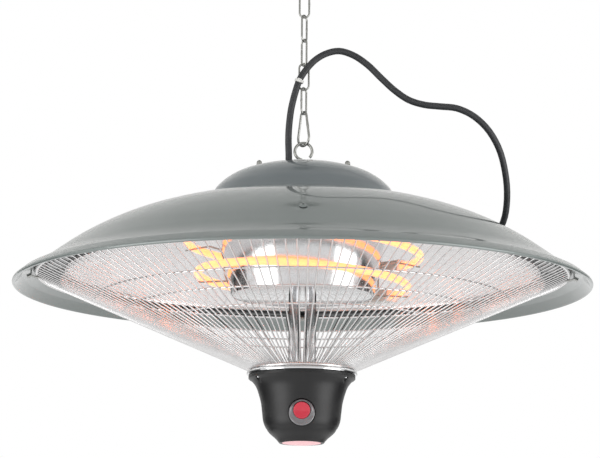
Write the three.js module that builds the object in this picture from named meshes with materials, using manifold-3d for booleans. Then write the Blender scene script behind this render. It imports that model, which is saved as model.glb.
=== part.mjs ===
// Ceiling infrared heater: a spun shade with two ring lamps round a polished drum, a cone of guard
// wires over the lamps, and a control housing on two tubes below. It hangs by an eye bolt on a chain
// from a ceiling hook, and its supply cord is tied to the chain.
// Millimetres, +Z up. The origin is the middle of the ceiling plate's upper face.
import * as THREE from 'three';
import { mergeVertices } from 'three/addons/utils/BufferGeometryUtils.js';
import Module from 'manifold-3d';

const wasm = await Module();
wasm.setup();

// Fits shared by every piece
const clearance = 0.3;
const cutOverrun = 4;
const quarterTurn = Math.PI / 2;
const fullTurn = 2 * Math.PI;
const radians = (degrees) => THREE.MathUtils.degToRad(degrees);

// Sides of thin wire, of small fasteners, of bars, of turned parts and of the large spinnings
const wireSides = 6;
const smallSides = 8;
const barSides = 12;
const turnedSides = 24;
const spunSides = 36;

// Shade: one spun sheet with a rolled bead at its rim. Heights are up from the rim plane.
const shadeRadius = 300;
const crownHeight = 96;
const shadeWall = 1.2;
const beadRadius = 2;
const beadAngles = [60, -10, -80, -150, -220];
const shadeSteps = 10;
const shadeOutlineShares = [
  [0, 1], [0.167, 0.984], [0.317, 0.941], [0.417, 0.883], [0.517, 0.805], [0.617, 0.701],
  [0.717, 0.56], [0.8, 0.411], [0.86, 0.281], [0.9, 0.193], [0.937, 0.13], [0.97, 0.083],
];

// Crown cap: a second, smaller spun dome over the fixings
const capRadius = 95;
const capRise = 39;
const capWall = 1;
const capSteps = 6;
const capOutlineShares = [
  [0, 1], [0.316, 0.969], [0.579, 0.846], [0.79, 0.641], [0.905, 0.436], [0.974, 0.244], [1, 0],
];
const capStudSpacing = 92;
const capStudRadius = 2;
const capNutRadius = 3;
const capNutHeight = 7.8;

// Reflector: a polished ring that follows the shade at an air gap, on three posts near its edge
const reflectorInset = 54;
const reflectorRadius = shadeRadius - reflectorInset;
const reflectorAirGap = 17.5;
const reflectorWall = 0.8;
const reflectorLip = 4;
const reflectorSteps = 5;
const postInset = 7;
const postCircleRadius = reflectorRadius - postInset;
const postCount = 3;
const postRadius = 4;
const shadeScrewHeadRadius = 4;
const shadeScrewHeadHeight = 2.2;
const shadeScrewShankRadius = 1.7;
const shadeScrewReach = 5;

// Drum: the polished tapered body in the middle, open below, with a plate inside it
const drumTopInset = 1.75;
const drumDepth = 98.7;
const drumTaper = 0.195;
const drumWall = 1;
const drumHem = 1.8;
const drumHemHeight = 3;
const drumPlateRise = 32;
const drumPlateThickness = 1.5;

// Ring lamps, both sagging to the right
const lampTubeRadius = 4.25;
const lampSteps = 24;
const lampLowerStand = 35;
const lampUpperStand = 48;
const lampUpperDrop = 45.7;
const lampPitch = 33;
const lampSag = radians(3.8);
const lampGapMiddle = radians(66);
const lampGapAngle = radians(72);
const socketWidth = 13;
const socketHeight = 13;
const socketSteps = 4;
const socketArmWidth = 12;
const socketArmThickness = 1.6;
const lampWireRadius = 0.9;
const lampWireSides = 4;
const lampWireStand = 3.5;
const lampWireTail = 4.5;
const lampWireAngles = [radians(14), radians(166)];
const lampSaddleLength = 9;

// Guard: radial wires in a shallow cone below the lamps, joined by hoops. Its wires are given by half
// their thickness.
const guardRingInset = 25;
const guardRingRadius = shadeRadius - guardRingInset;
const guardRingDrop = 3.9;
const guardRingWire = 1.5;
const guardWireCount = 48;
const guardWireHalf = 0.9;
const guardHoopShares = [0.728, 0.593, 0.457];
const guardHoopWire = 0.9;
const guardFootRadius = 54;
const guardFootHeight = -87.4;
const guardFootWire = 1.5;
const clipCount = 4;
const clipWidth = 9;
const clipThickness = 1;
const clipPadReach = 10;
const clipBendReach = 6;

// Support tubes and the collar that they end in
const tubeRadius = 5.75;
const tubeBore = 4.6;
const tubeSpacing = 17.2;
const tubeTopReach = 6;
const tubeBottomReach = 5;
const collarRadius = 57;
const collarThickness = 3.4;
const collarEdgeRound = 1.1;

// Control housing: a moulded bell under the collar
const housingRadius = 55.1;
const housingHeight = 69.6;
const housingWall = 2.5;
const housingOutlineShares = [
  [1, 0], [1, 0.053], [0.935, 0.082], [0.87, 0.15], [0.799, 0.297], [0.762, 0.412],
  [0.742, 0.537], [0.706, 0.716], [0.622, 0.835], [0.463, 0.954], [0.417, 1],
];
const housingFlange = 3.2;
const insideStart = 3;
const housingScrewCircle = 51;
const housingScrewCount = 3;
const housingScrewStart = radians(-30);
const pocketRadius = 2.6;
const pocketDepth = 9;
const pocketBossRadius = 4.8;
const screwHeadRadius = 2.3;
const screwHeadHeight = 1.8;
const screwShankRadius = 1.7;

// Rocker switch in a round recess on the front of the housing
const switchDrop = 42.3;
const recessRadius = 14.2;
const recessFloor = 35;
const recessBossWall = 2.2;
const bezelRadius = 13.2;
const bezelRise = 3.2;
const bezelLipRise = 1.3;
const rockerLift = 2.6;
const rockerBore = 9.3;
const rockerRadius = 8.6;
const rockerRise = 3.4;
const rockerDip = 2.1;
const rockerKeel = 3;
const rockerSkirt = 1;
const rockerTilt = radians(8);
const switchBarrelRadius = 10.4;
const switchCupDepth = 7;
const switchBodyDepth = 20;

// Lens in the housing's mouth, with the indicator board behind it
const lensRadius = 20;
const lensFlangeRadius = 21.6;
const lensFlangeThickness = 1.2;
const lensWall = 2;
const lensBulge = 1.8;
const mouthRadius = 20.5;
const mouthLip = 2;
const boardRadius = 18.6;
const boardThickness = 1.6;
const ledRadius = 2.5;
const ledHeight = 2.6;
const terminalLength = 36;
const terminalDepth = 16;
const terminalHeight = 13;
const terminalWays = 3;
const terminalSlot = 3;
const terminalBehind = 24;

// Eye bolt on the crown, with its collar on the cap and its nut under the drum's top
const eyeRadius = 9;
const eyeWire = 1.5;
const eyeRise = 13.8;
const eyeOpening = radians(45);
const eyeSteps = 14;
const eyeCollarRadius = 7;
const eyeCollarHeight = 2.2;
const boltRadius = 2.5;
const boltTail = 12;
const nutAcrossFlats = 10;
const nutSides = 6;
const nutHeight = 5;

// Chain: a pear link in the eye, then five long links, each turned from the one below
const pearWire = 1.25;
const pearLength = 36.4;
const pearTopRadius = 4.4;
const pearBottomRadius = 8.7;
const pearClearance = 0.4;
const pearTurn = radians(310);
const pearTopSteps = 6;
const pearBottomSteps = 10;
const linkWire = 1;
const linkBend = 5;
const linkLength = 28.3;
const linkEndSteps = 6;
const linkTurns = [radians(240), radians(180), radians(120), radians(60), 0];

// Ceiling hook, welded to a round plate with two screws
const hookWire = 2.5;
const hookRadius = 8;
const hookShank = 9;
const hookOpening = radians(67.5);
const hookSteps = 13;
const hookTurn = radians(-60);
const plateRadius = 27;
const plateThickness = 3;
const plateScrewSpacing = 38;
const plateScrewHead = 4;
const plateScrewShank = 2;
const plateScrewInset = 0.4;

// Supply cord, its grommet in the cap, its tie on the second link and its plug
const cordRadius = 3.5;
const cordExit = -15.3;
const cordSteps = 46;
const leadSteps = 6;
const grommetRadius = 7;
const grommetRise = 1.8;
const grommetNeck = 4.6;
const grommetTail = 20;
const tieWidth = 2.6;
const tieThickness = 1.1;
const tieHead = 2.2;
const tieCordSteps = 10;
const tieLinkSteps = 6;
const tieCornerSteps = 2;
const coilBend = 40;
const coilPitch = 7.6;
const coilLayer = 7.5;
const coilLoops = 2;
const coilDip = 1.5;
const coilPlace = 150;
const coilSteps = 24;
const coilSides = 6;
const plugRadius = 18;
const plugLength = 44;
const plugNeck = 5.2;
const plugPinRadius = 2.4;
const plugPinLength = 19;
const plugPinSpacing = 19;
const plugPlace = new THREE.Vector2(-110, 111);
const plugHeading = radians(186);

// Route of the cord from the grommet over the tie and down behind the shade, as hung: x, y and
// height above the rim plane
const cordRoute = [
  [-15.5, -0.2, 144.8], [-15.8, -0.8, 155.5], [-15.5, -1.7, 166.2], [-14.6, -2.6, 176.8],
  [-13.2, -3.4, 187.5], [-10.9, -4.2, 198.2], [-8, -5, 208.8], [-4.6, -5.3, 218.8],
  [2.2, -5.6, 229.6], [11, -5.8, 239.4], [22, -5, 246.6], [36.6, -3, 250.4],
  [51, 0, 246.9], [66, 2, 237.4], [81, 4, 223.2], [96, 5, 209.6],
  [110, 6, 200.4], [126, 7, 195.6], [143, 8, 194.1], [160, 9, 192.6],
  [175, 12, 187], [191, 17, 174.8], [205, 27, 155], [213, 41, 131],
  [216, 58, 106], [213, 78, 84], [203, 96, 69], [188, 112, 61.5],
  [168, 130, 60.4], [142, 147, 63.4], [112, 162, 66.9], [82, 176, 68.2],
  [56, 187, 67.8], [34, 194, 67],
];

// Finishes
const finish = (color, roughness, metalness) => new THREE.MeshStandardMaterial({ color, roughness, metalness });
const shadePaint = finish(0x8c9492, 0.3, 0.3);
const capPaint = finish(0x7b8286, 0.28, 0.3);
const polishedMetal = finish(0xd9dadb, 0.12, 1);
const platedWire = finish(0xc9c9c6, 0.3, 1);
const darkSteel = finish(0x6d6a66, 0.45, 0.9);
const blackMoulding = finish(0x2b2b2c, 0.35, 0);
const blackRubber = finish(0x303030, 0.6, 0);
const whiteNylon = finish(0xf0efec, 0.5, 0);
const glowingQuartz = finish(0xffc27a, 0.3, 0);
const ceramicWhite = finish(0xe9e4da, 0.6, 0);
const redLens = finish(0xd83c4a, 0.2, 0);
const pinkLens = finish(0xf6d9dc, 0.25, 0);
const boardGreen = finish(0x2f6b45, 0.6, 0);

// Turns a geometry inside out if its faces point in
function facingOut(geometry) {
  const position = geometry.attributes.position;
  const index = geometry.index.array;
  const [a, b, c] = [new THREE.Vector3(), new THREE.Vector3(), new THREE.Vector3()];
  let volume = 0;
  for (let i = 0; i < index.length; i += 3) {
    a.fromBufferAttribute(position, index[i]);
    b.fromBufferAttribute(position, index[i + 1]);
    c.fromBufferAttribute(position, index[i + 2]);
    volume += a.dot(b.cross(c));
  }
  if (volume < 0) {
    for (let i = 0; i < index.length; i += 3) {
      [index[i], index[i + 1]] = [index[i + 1], index[i]];
    }
  }
  return geometry;
}

// Shares the vertices of a closed shape, so that it is one skin
function welded(geometry) {
  geometry.deleteAttribute('normal');
  geometry.deleteAttribute('uv');
  const weldReach = 1e-4;
  return facingOut(mergeVertices(geometry, weldReach));
}

function toSolid(geometry) {
  const skin = welded(geometry);
  return new wasm.Manifold(new wasm.Mesh({
    numProp: 3,
    vertProperties: new Float32Array(skin.attributes.position.array),
    triVerts: new Uint32Array(skin.index.array),
  }));
}

function toGeometry(solid) {
  const mesh = solid.getMesh();
  const geometry = new THREE.BufferGeometry();
  geometry.setAttribute('position', new THREE.BufferAttribute(new Float32Array(mesh.vertProperties), 3));
  geometry.setIndex(new THREE.BufferAttribute(new Uint32Array(mesh.triVerts), 1));
  return geometry;
}

function cutBy(geometry, cutters) {
  return toGeometry(cutters.reduce((left, cutter) => left.subtract(toSolid(cutter)), toSolid(geometry)));
}

function fused(geometries) {
  return toGeometry(geometries.map(toSolid).reduce((whole, next) => whole.add(next)));
}

// A profile of [radius, height] pairs turned about the Z axis
function turned(profile, segments) {
  const points = profile.map(([radius, height]) => new THREE.Vector2(radius, height));
  const onAxis = points[0].x === 0 && points[points.length - 1].x === 0;
  if (!onAxis) {
    points.push(points[0].clone());
  }
  return new THREE.LatheGeometry(points, segments).rotateX(quarterTurn);
}

// A round bar on the Z axis between two heights
function bar(radius, low, high, sides = barSides) {
  const geometry = new THREE.CylinderGeometry(radius, radius, high - low, sides);
  return geometry.rotateX(quarterTurn).translate(0, 0, (low + high) / 2);
}

// The polyline moved to its inner side by a wall, for a sheet that is drawn from its outer face
function inset(line, wall) {
  return line.map(([x, y], i) => {
    const [fromX, fromY] = line[Math.max(i - 1, 0)];
    const [toX, toY] = line[Math.min(i + 1, line.length - 1)];
    const length = Math.hypot(toX - fromX, toY - fromY);
    const shifted = [x + wall * (toY - fromY) / length, y - wall * (toX - fromX) / length];
    return x === 0 ? [0, y - wall] : shifted;
  });
}

// Height of a polyline of [radius, height] pairs at one radius
function heightAt(line, radius) {
  const end = line.findIndex(([r]) => r >= radius);
  if (end < 1) {
    return end === 0 ? line[0][1] : line[line.length - 1][1];
  }
  const [[r0, h0], [r1, h1]] = [line[end - 1], line[end]];
  return h0 + (h1 - h0) * (radius - r0) / (r1 - r0);
}

function smoothLine(points, steps) {
  const curve = new THREE.SplineCurve(points.map(([x, y]) => new THREE.Vector2(x, y)));
  return curve.getPoints(steps).map(({ x, y }) => [x, y]);
}

// Points of an arc in the XZ plane about a height, from one angle to another
function arcPoints(radius, from, to, steps, height) {
  return Array.from({ length: steps + 1 }, (_, i) => {
    const angle = from + (to - from) * i / steps;
    return new THREE.Vector3(radius * Math.cos(angle), 0, height + radius * Math.sin(angle));
  });
}

// A round tube with a ring of sides at each point, its frame carried along without twist
function tubeAlong(points, radius, sides, closed = false) {
  const count = points.length;
  const beyond = ([end, next, third = next]) => (
    end.clone().sub(next).multiplyScalar(third === next ? 1 : 3).add(third === next ? end : third)
  );
  const [before, after] = [beyond(points), beyond(points.slice().reverse())];
  const near = (i) => (closed ? points[(i + count) % count] : points[i] ?? (i < 0 ? before : after));
  const tangents = points.map((_, i) => near(i + 1).clone().sub(near(i - 1)).normalize());
  const alongY = Math.abs(tangents[0].y) > Math.SQRT1_2;
  let normal = new THREE.Vector3(alongY ? 1 : 0, alongY ? 0 : 1, 0).cross(tangents[0]).normalize();
  const corners = [];
  points.forEach((point, i) => {
    normal = normal.clone().addScaledVector(tangents[i], -normal.dot(tangents[i])).normalize();
    const across = tangents[i].clone().cross(normal);
    for (let side = 0; side < sides; side += 1) {
      const angle = fullTurn * side / sides;
      const corner = point.clone().addScaledVector(normal, radius * Math.cos(angle));
      corners.push(corner.addScaledVector(across, radius * Math.sin(angle)));
    }
  });
  const faces = [];
  for (let ring = 0; ring < (closed ? count : count - 1); ring += 1) {
    for (let side = 0; side < sides; side += 1) {
      const [a, b] = [ring * sides + side, ring * sides + (side + 1) % sides];
      const [c, d] = [((ring + 1) % count) * sides + side, ((ring + 1) % count) * sides + (side + 1) % sides];
      faces.push(a, b, d, a, d, c);
    }
  }
  if (!closed) {
    const last = (count - 1) * sides;
    for (let side = 1; side < sides - 1; side += 1) {
      faces.push(0, side + 1, side, last, last + side, last + side + 1);
    }
  }
  const geometry = new THREE.BufferGeometry().setFromPoints(corners);
  geometry.setIndex(faces);
  return facingOut(geometry);
}

// A free stretch of cord, as a round section carried along a curve
function cordAlong(curve, radius, sides, steps) {
  const section = new THREE.Shape(Array.from({ length: sides }, (_, i) => {
    const angle = fullTurn * i / sides;
    return new THREE.Vector2(radius * Math.cos(angle), radius * Math.sin(angle));
  }));
  return new THREE.ExtrudeGeometry(section, { steps, extrudePath: curve, curveSegments: 1 });
}

const hanging = new THREE.Group();

function place(name, geometry, material) {
  const mesh = new THREE.Mesh(welded(geometry), material);
  mesh.name = name;
  hanging.add(mesh);
  return mesh;
}

// Shade. The sheet's upper face is a smooth line through the shares, and its under face is the same
// line inset by the wall; the bead closes it at the rim.
const shadeKnots = shadeOutlineShares.map(([r, h]) => [r * shadeRadius, h * crownHeight]);
const shadeLine = smoothLine(shadeKnots, shadeSteps);
const shadeUnder = inset(shadeLine, shadeWall);
const beadCentre = shadeRadius - beadRadius;
const beadArc = beadAngles.map((degrees) => [
  beadCentre + beadRadius * Math.cos(radians(degrees)), beadRadius * Math.sin(radians(degrees)),
]);
const shadeProfile = [...shadeLine, ...beadArc, ...shadeUnder.slice().reverse()];
const onShade = (radius) => heightAt(shadeLine, radius);
const underShade = (radius) => heightAt(shadeUnder, radius);
const postAngles = Array.from({ length: postCount }, (_, i) => -quarterTurn + fullTurn * i / postCount);
const shadeSlope = Math.atan2(
  onShade(postCircleRadius - postRadius) - onShade(postCircleRadius + postRadius), 2 * postRadius,
);

// Carries a piece drawn on the Z axis to a point of the shade's skin, along the skin's normal
function ontoShade(geometry, radius, height, angle) {
  return geometry.rotateY(shadeSlope).translate(radius, 0, height).rotateZ(angle);
}

const boltHole = boltRadius + clearance;
const studHole = capStudRadius + clearance;
const screwHole = shadeScrewShankRadius + clearance;
const capFoot = onShade(capRadius) + clearance;
const capLine = smoothLine(capOutlineShares.map(([r, h]) => [r * capRadius, capFoot + h * capRise]), capSteps);
const onCap = (radius) => heightAt(capLine, radius);
const capTop = capFoot + capRise;
const studPlaces = [-capStudSpacing / 2, capStudSpacing / 2];
const studBar = (radius, x, low, high, sides) => bar(radius, low, high, sides).translate(x, 0, 0);
const studCuts = (radius, low, high) => studPlaces.map((x) => studBar(radius, x, low, high, smallSides));
const shadeCuts = [
  bar(boltHole, crownHeight - cutOverrun, crownHeight + cutOverrun),
  ...studCuts(studHole, onShade(capStudSpacing / 2) - cutOverrun, crownHeight + cutOverrun),
  ...postAngles.map((angle) => ontoShade(
    bar(screwHole, -cutOverrun, cutOverrun, smallSides), postCircleRadius, onShade(postCircleRadius), angle,
  )),
];
place('shade', cutBy(turned(shadeProfile, spunSides), shadeCuts), shadePaint);

// Crown cap, with its holes for the bolt, the studs and the grommet
const neckHole = grommetNeck + clearance;
const capCuts = [
  bar(boltHole, capTop - cutOverrun, capTop + cutOverrun),
  ...studCuts(studHole, onCap(capStudSpacing / 2) - cutOverrun, capTop + cutOverrun),
  studBar(neckHole, cordExit, onCap(Math.abs(cordExit)) - cutOverrun, capTop + cutOverrun, barSides),
];
const capProfile = [...capLine, ...inset(capLine, capWall).reverse()];
capProfile[capLine.length] = [capRadius - capWall, capFoot];
place('crown_cap', cutBy(turned(capProfile, turnedSides), capCuts), capPaint);

// Each stud is a screw with its head under the shade's crown; a domed nut holds the cap on it
studPlaces.forEach((x, i) => {
  const side = ['left', 'right'][i];
  const headTop = underShade(Math.abs(x) + capNutRadius) - clearance;
  const nutSeat = onCap(Math.abs(x) - capNutRadius) + clearance;
  const shankTop = nutSeat + clearance;
  const studHead = studBar(capNutRadius, x, headTop - shadeScrewHeadHeight, headTop, smallSides);
  const stud = studBar(capStudRadius, x, headTop - clearance, shankTop, smallSides);
  place(`cap_stud_${side}`, fused([studHead, stud]), darkSteel);
  const dome = [
    [0, capNutHeight], [0.5 * capNutRadius, 0.92 * capNutHeight], [0.85 * capNutRadius, 0.66 * capNutHeight],
    [capNutRadius, 0.3 * capNutHeight], [capNutRadius, 0], [studHole, 0], [studHole, 0.5 * capNutHeight],
    [0, 0.5 * capNutHeight],
  ];
  place(`cap_nut_${side}`, turned(dome, smallSides).translate(x, 0, nutSeat), polishedMetal);
});

// Eye bolt: a bent ring, open at its lower right, on a shouldered shank
const eyeCentre = capTop + eyeRise;
const drumTopRadius = capRadius - drumTopInset;
const drumTop = underShade(drumTopRadius) - clearance;
const drumRadiusAt = (height) => drumTopRadius - drumTaper * (drumTop - height);
const drumBottomHeight = drumTop - drumDepth;
const drumBottomRadius = drumRadiusAt(drumBottomHeight);
const eyeFoot = capTop + clearance;
const eyeArc = arcPoints(eyeRadius, -quarterTurn, -quarterTurn - fullTurn + eyeOpening, eyeSteps, eyeCentre);
const eyeStem = bar(boltRadius, drumTop - drumWall - boltTail, eyeCentre - eyeRadius);
const eyeCollar = bar(eyeCollarRadius, eyeFoot, eyeFoot + eyeCollarHeight);
place('eye_bolt', fused([tubeAlong(eyeArc, eyeWire, wireSides), eyeStem, eyeCollar]), platedWire);

const nutTop = drumTop - drumWall - clearance;
const nutCorner = nutAcrossFlats / 2 / Math.cos(Math.PI / nutSides);
const nutBody = bar(nutCorner, nutTop - nutHeight, nutTop, nutSides);
const nutBore = bar(boltHole, nutTop - nutHeight - cutOverrun, nutTop + cutOverrun);
place('eye_nut', cutBy(nutBody, [nutBore]), darkSteel);

// Drum: a tapered spinning with a closed top against the shade and a hem at its open mouth
const hemTop = drumBottomHeight + drumHemHeight;
const drumProfile = [
  [0, drumTop], [drumRadiusAt(drumTop), drumTop], [drumBottomRadius, drumBottomHeight],
  [drumBottomRadius - drumHem, drumBottomHeight], [drumRadiusAt(hemTop) - drumHem, hemTop],
  [drumRadiusAt(hemTop) - drumWall, hemTop + drumHem], [drumRadiusAt(drumTop) - drumWall, drumTop - drumWall],
  [0, drumTop - drumWall],
];
const drumCuts = [
  bar(boltHole, drumTop - cutOverrun, drumTop + cutOverrun),
  ...studCuts(capNutRadius + clearance, drumTop - cutOverrun, drumTop + cutOverrun),
];
place('drum', cutBy(turned(drumProfile, spunSides), drumCuts), polishedMetal);

// The plate inside the drum carries the two tubes
const plateUnder = drumBottomHeight + drumPlateRise;
const plateEdge = drumRadiusAt(plateUnder) - drumWall - clearance;
const tubePlaces = [-tubeSpacing / 2, tubeSpacing / 2];
const tubeHoles = (low, high) => tubePlaces.map((x) => studBar(tubeRadius + clearance, x, low, high));
const drumPlate = bar(plateEdge, plateUnder, plateUnder + drumPlateThickness, spunSides);
const drumPlateHoles = tubeHoles(plateUnder - cutOverrun, plateUnder + cutOverrun);
place('drum_plate', cutBy(drumPlate, drumPlateHoles), polishedMetal);

// Reflector: parallel to the shade at the air gap, from the drum to a turned-down lip
const reflectorTop = (radius) => underShade(radius) - reflectorAirGap;
const reflectorHole = drumRadiusAt(reflectorTop(drumBottomRadius)) + clearance;
const reflectorLine = Array.from({ length: reflectorSteps + 1 }, (_, i) => {
  const radius = reflectorHole + (reflectorRadius - reflectorHole) * i / reflectorSteps;
  return [radius, reflectorTop(radius)];
});
const reflectorUnder = inset(reflectorLine, reflectorWall);
reflectorUnder[0] = [reflectorHole, reflectorLine[0][1] - reflectorWall];
const lipFoot = reflectorTop(reflectorRadius) - reflectorLip;
const reflectorProfile = [
  ...reflectorLine, [reflectorRadius, lipFoot], [reflectorRadius - reflectorWall, lipFoot],
  ...reflectorUnder.slice(0, -1).reverse(),
];
place('reflector', turned(reflectorProfile, spunSides), polishedMetal);

// Posts between shade and reflector, square to both, each held by a domed screw from outside
const skinDrop = shadeWall + clearance;
const postGap = underShade(postCircleRadius) - heightAt(reflectorLine, postCircleRadius);
const postReach = postGap * Math.cos(shadeSlope) - 2 * clearance;
postAngles.forEach((angle, i) => {
  const seat = [postCircleRadius, onShade(postCircleRadius), angle];
  const bored = cutBy(
    bar(postRadius, -skinDrop - postReach, -skinDrop, smallSides),
    [bar(screwHole, -skinDrop - shadeScrewReach - clearance, cutOverrun, smallSides)],
  );
  place(`reflector_post_${i + 1}`, ontoShade(bored, ...seat), darkSteel);
  const screw = [
    [0, shadeScrewHeadHeight + clearance], [0.6 * shadeScrewHeadRadius, 0.8 * shadeScrewHeadHeight + clearance],
    [shadeScrewHeadRadius, 0.2 * shadeScrewHeadHeight + clearance], [shadeScrewHeadRadius, clearance],
    [shadeScrewShankRadius, clearance], [shadeScrewShankRadius, -skinDrop - shadeScrewReach + clearance],
    [0, -skinDrop - shadeScrewReach + clearance],
  ];
  place(`shade_screw_${i + 1}`, ontoShade(turned(screw, smallSides), ...seat), shadePaint);
});

// Lamps. Each is most of a ring; its ends meet a ceramic socket that a steel arm holds to the drum.
const lampStart = lampGapMiddle + lampGapAngle / 2;
const lampEnd = lampGapMiddle - lampGapAngle / 2 + fullTurn;
const lampUpperHeight = drumTop - lampUpperDrop;
const lampSets = [
  ['lower', drumBottomRadius + lampLowerStand, lampUpperHeight - lampPitch],
  ['upper', drumBottomRadius + lampUpperStand, lampUpperHeight],
];
const sagged = (geometry, height) => geometry.rotateY(lampSag).translate(0, 0, height);
const drumEnvelope = () => turned([
  [0, drumTop], [drumRadiusAt(drumTop) + clearance, drumTop],
  [drumBottomRadius + clearance, drumBottomHeight], [0, drumBottomHeight],
], spunSides);
lampSets.forEach(([level, radius, height]) => {
  const ring = Array.from({ length: lampSteps + 1 }, (_, i) => {
    const angle = lampStart + (lampEnd - lampStart) * i / lampSteps;
    return new THREE.Vector3(radius * Math.cos(angle), radius * Math.sin(angle), 0);
  });
  place(`lamp_${level}`, sagged(tubeAlong(ring, lampTubeRadius, smallSides), height), glowingQuartz);

  const halfGap = lampGapAngle / 2 - clearance / radius;
  const sector = new THREE.Shape();
  sector.absarc(0, 0, radius + socketWidth / 2, lampGapMiddle - halfGap, lampGapMiddle + halfGap, false);
  sector.absarc(0, 0, radius - socketWidth / 2, lampGapMiddle + halfGap, lampGapMiddle - halfGap, true);
  const blockShape = { depth: socketHeight, bevelEnabled: false, curveSegments: socketSteps };
  const block = new THREE.ExtrudeGeometry(sector, blockShape).translate(0, 0, -socketHeight / 2);
  const armLength = radius - drumBottomRadius;
  const arm = new THREE.BoxGeometry(armLength, socketArmWidth, socketArmThickness);
  arm.translate(radius - armLength / 2, 0, socketHeight / 2 - socketArmThickness);
  arm.rotateZ(lampGapMiddle);
  const holder = sagged(fused([block, arm]), height);
  place(`lamp_socket_${level}`, cutBy(holder, [drumEnvelope()]), ceramicWhite);
});

// Wire supports: a drop beside the drum with a foot on it at each end, and an arm under each lamp
lampWireAngles.forEach((angle, i) => {
  const sagAt = (radius, height) => height - radius * Math.cos(angle) * Math.tan(lampSag);
  const sagHeights = lampSets.map(([, radius, height]) => sagAt(radius, height));
  const armDrop = lampTubeRadius + lampWireRadius + clearance;
  const dropTop = sagHeights[1] - armDrop;
  const dropFoot = sagHeights[0] - armDrop - lampWireTail;
  const upright = (height) => new THREE.Vector3(drumRadiusAt(height) + lampWireStand, 0, height);
  const straight = (from, to) => tubeAlong([from, to], lampWireRadius, lampWireSides);
  const pieces = [straight(upright(dropFoot), upright(dropTop + lampWireRadius))];
  lampSets.forEach(([, radius], k) => {
    const level = sagHeights[k] - armDrop;
    const from = upright(level);
    pieces.push(straight(from, new THREE.Vector3(radius + lampSaddleLength / 2, 0, level)));
  });
  [dropFoot + lampWireRadius, dropTop].forEach((height) => {
    const foot = upright(height);
    pieces.push(straight(foot, new THREE.Vector3(foot.x - 2 * lampWireStand, 0, height)));
  });
  const support = fused(pieces).rotateZ(angle);
  place(`lamp_support_${['right', 'left'][i]}`, cutBy(support, [drumEnvelope()]), darkSteel);
});

// Guard. Wires run straight from the outer ring to the foot ring, through the hoops between them.
const guardRingHeight = underShade(guardRingRadius) - guardRingDrop;
const guardHoopRadii = guardHoopShares.map((share) => (
  guardFootRadius + share * (guardRingRadius - guardFootRadius)
));
const guardSlope = (guardRingHeight - guardFootHeight) / (guardRingRadius - guardFootRadius);
const coneHeight = (radius) => guardFootHeight + guardSlope * (radius - guardFootRadius);

// A lattice of spokes and rings as one skin: a block at each crossing, and a square bar from each
// block to the next one outwards and to the next one round
function latticeCone(rings, spokeCount, spokeHalf) {
  const corners = [];
  const faces = [];
  const quad = (a, b, c, d) => faces.push(a, b, c, a, c, d);
  const last = rings.length - 1;
  const at = (spoke, ring, side, edge, level) => (
    (((spoke % spokeCount) * rings.length + ring) * 2 + side) * 4 + edge * 2 + level
  );
  for (let spoke = 0; spoke < spokeCount; spoke += 1) {
    const angle = fullTurn * (spoke + 0.5) / spokeCount;
    rings.forEach(({ radius, height, half, lean }) => {
      for (let corner = 0; corner < 8; corner += 1) {
        const [side, edge, level] = [corner >> 2, (corner >> 1) & 1, corner & 1].map((bit) => 2 * bit - 1);
        const point = new THREE.Vector3(radius + edge * half, side * spokeHalf, height + level * half);
        point.z += edge * half * lean;
        corners.push(point.applyAxisAngle(new THREE.Vector3(0, 0, 1), angle));
      }
    });
  }
  for (let spoke = 0; spoke < spokeCount; spoke += 1) {
    rings.forEach((_, ring) => {
      const block = (side, edge, level) => at(spoke, ring, side, edge, level);
      const onward = (edge, level) => at(spoke + 1, ring, 0, edge, level);
      quad(block(0, 0, 1), block(0, 1, 1), block(1, 1, 1), block(1, 0, 1));
      quad(block(1, 0, 0), block(1, 1, 0), block(0, 1, 0), block(0, 0, 0));
      quad(block(1, 0, 1), block(1, 1, 1), onward(1, 1), onward(0, 1));
      quad(onward(0, 0), onward(1, 0), block(1, 1, 0), block(1, 0, 0));
      quad(block(1, 1, 0), onward(1, 0), onward(1, 1), block(1, 1, 1));
      quad(block(1, 0, 1), onward(0, 1), onward(0, 0), block(1, 0, 0));
      if (ring === 0) {
        quad(block(0, 0, 0), block(0, 0, 1), block(1, 0, 1), block(1, 0, 0));
      }
      if (ring === last) {
        quad(block(0, 1, 0), block(1, 1, 0), block(1, 1, 1), block(0, 1, 1));
      } else {
        const outer = (side, level) => at(spoke, ring + 1, side, 0, level);
        quad(block(0, 1, 1), outer(0, 1), outer(1, 1), block(1, 1, 1));
        quad(block(1, 1, 0), outer(1, 0), outer(0, 0), block(0, 1, 0));
        quad(block(1, 1, 0), block(1, 1, 1), outer(1, 1), outer(1, 0));
        quad(block(0, 1, 0), outer(0, 0), outer(0, 1), block(0, 1, 1));
      }
    });
  }
  const geometry = new THREE.BufferGeometry().setFromPoints(corners);
  geometry.setIndex(faces);
  return geometry;
}

// The outer ring's flats, where the clips hook under it, lie at its nominal radius
const guardCorner = guardRingRadius / Math.cos(Math.PI / guardWireCount);
const guardRings = [
  { radius: guardFootRadius, height: guardFootHeight, half: guardFootWire, lean: 0 },
  ...guardHoopRadii.map((radius) => (
    { radius, height: coneHeight(radius), half: guardHoopWire, lean: guardSlope }
  )).reverse(),
  { radius: guardCorner, height: guardRingHeight, half: guardRingWire, lean: 0 },
];
place('guard', latticeCone(guardRings, guardWireCount, guardWireHalf), platedWire);

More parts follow.
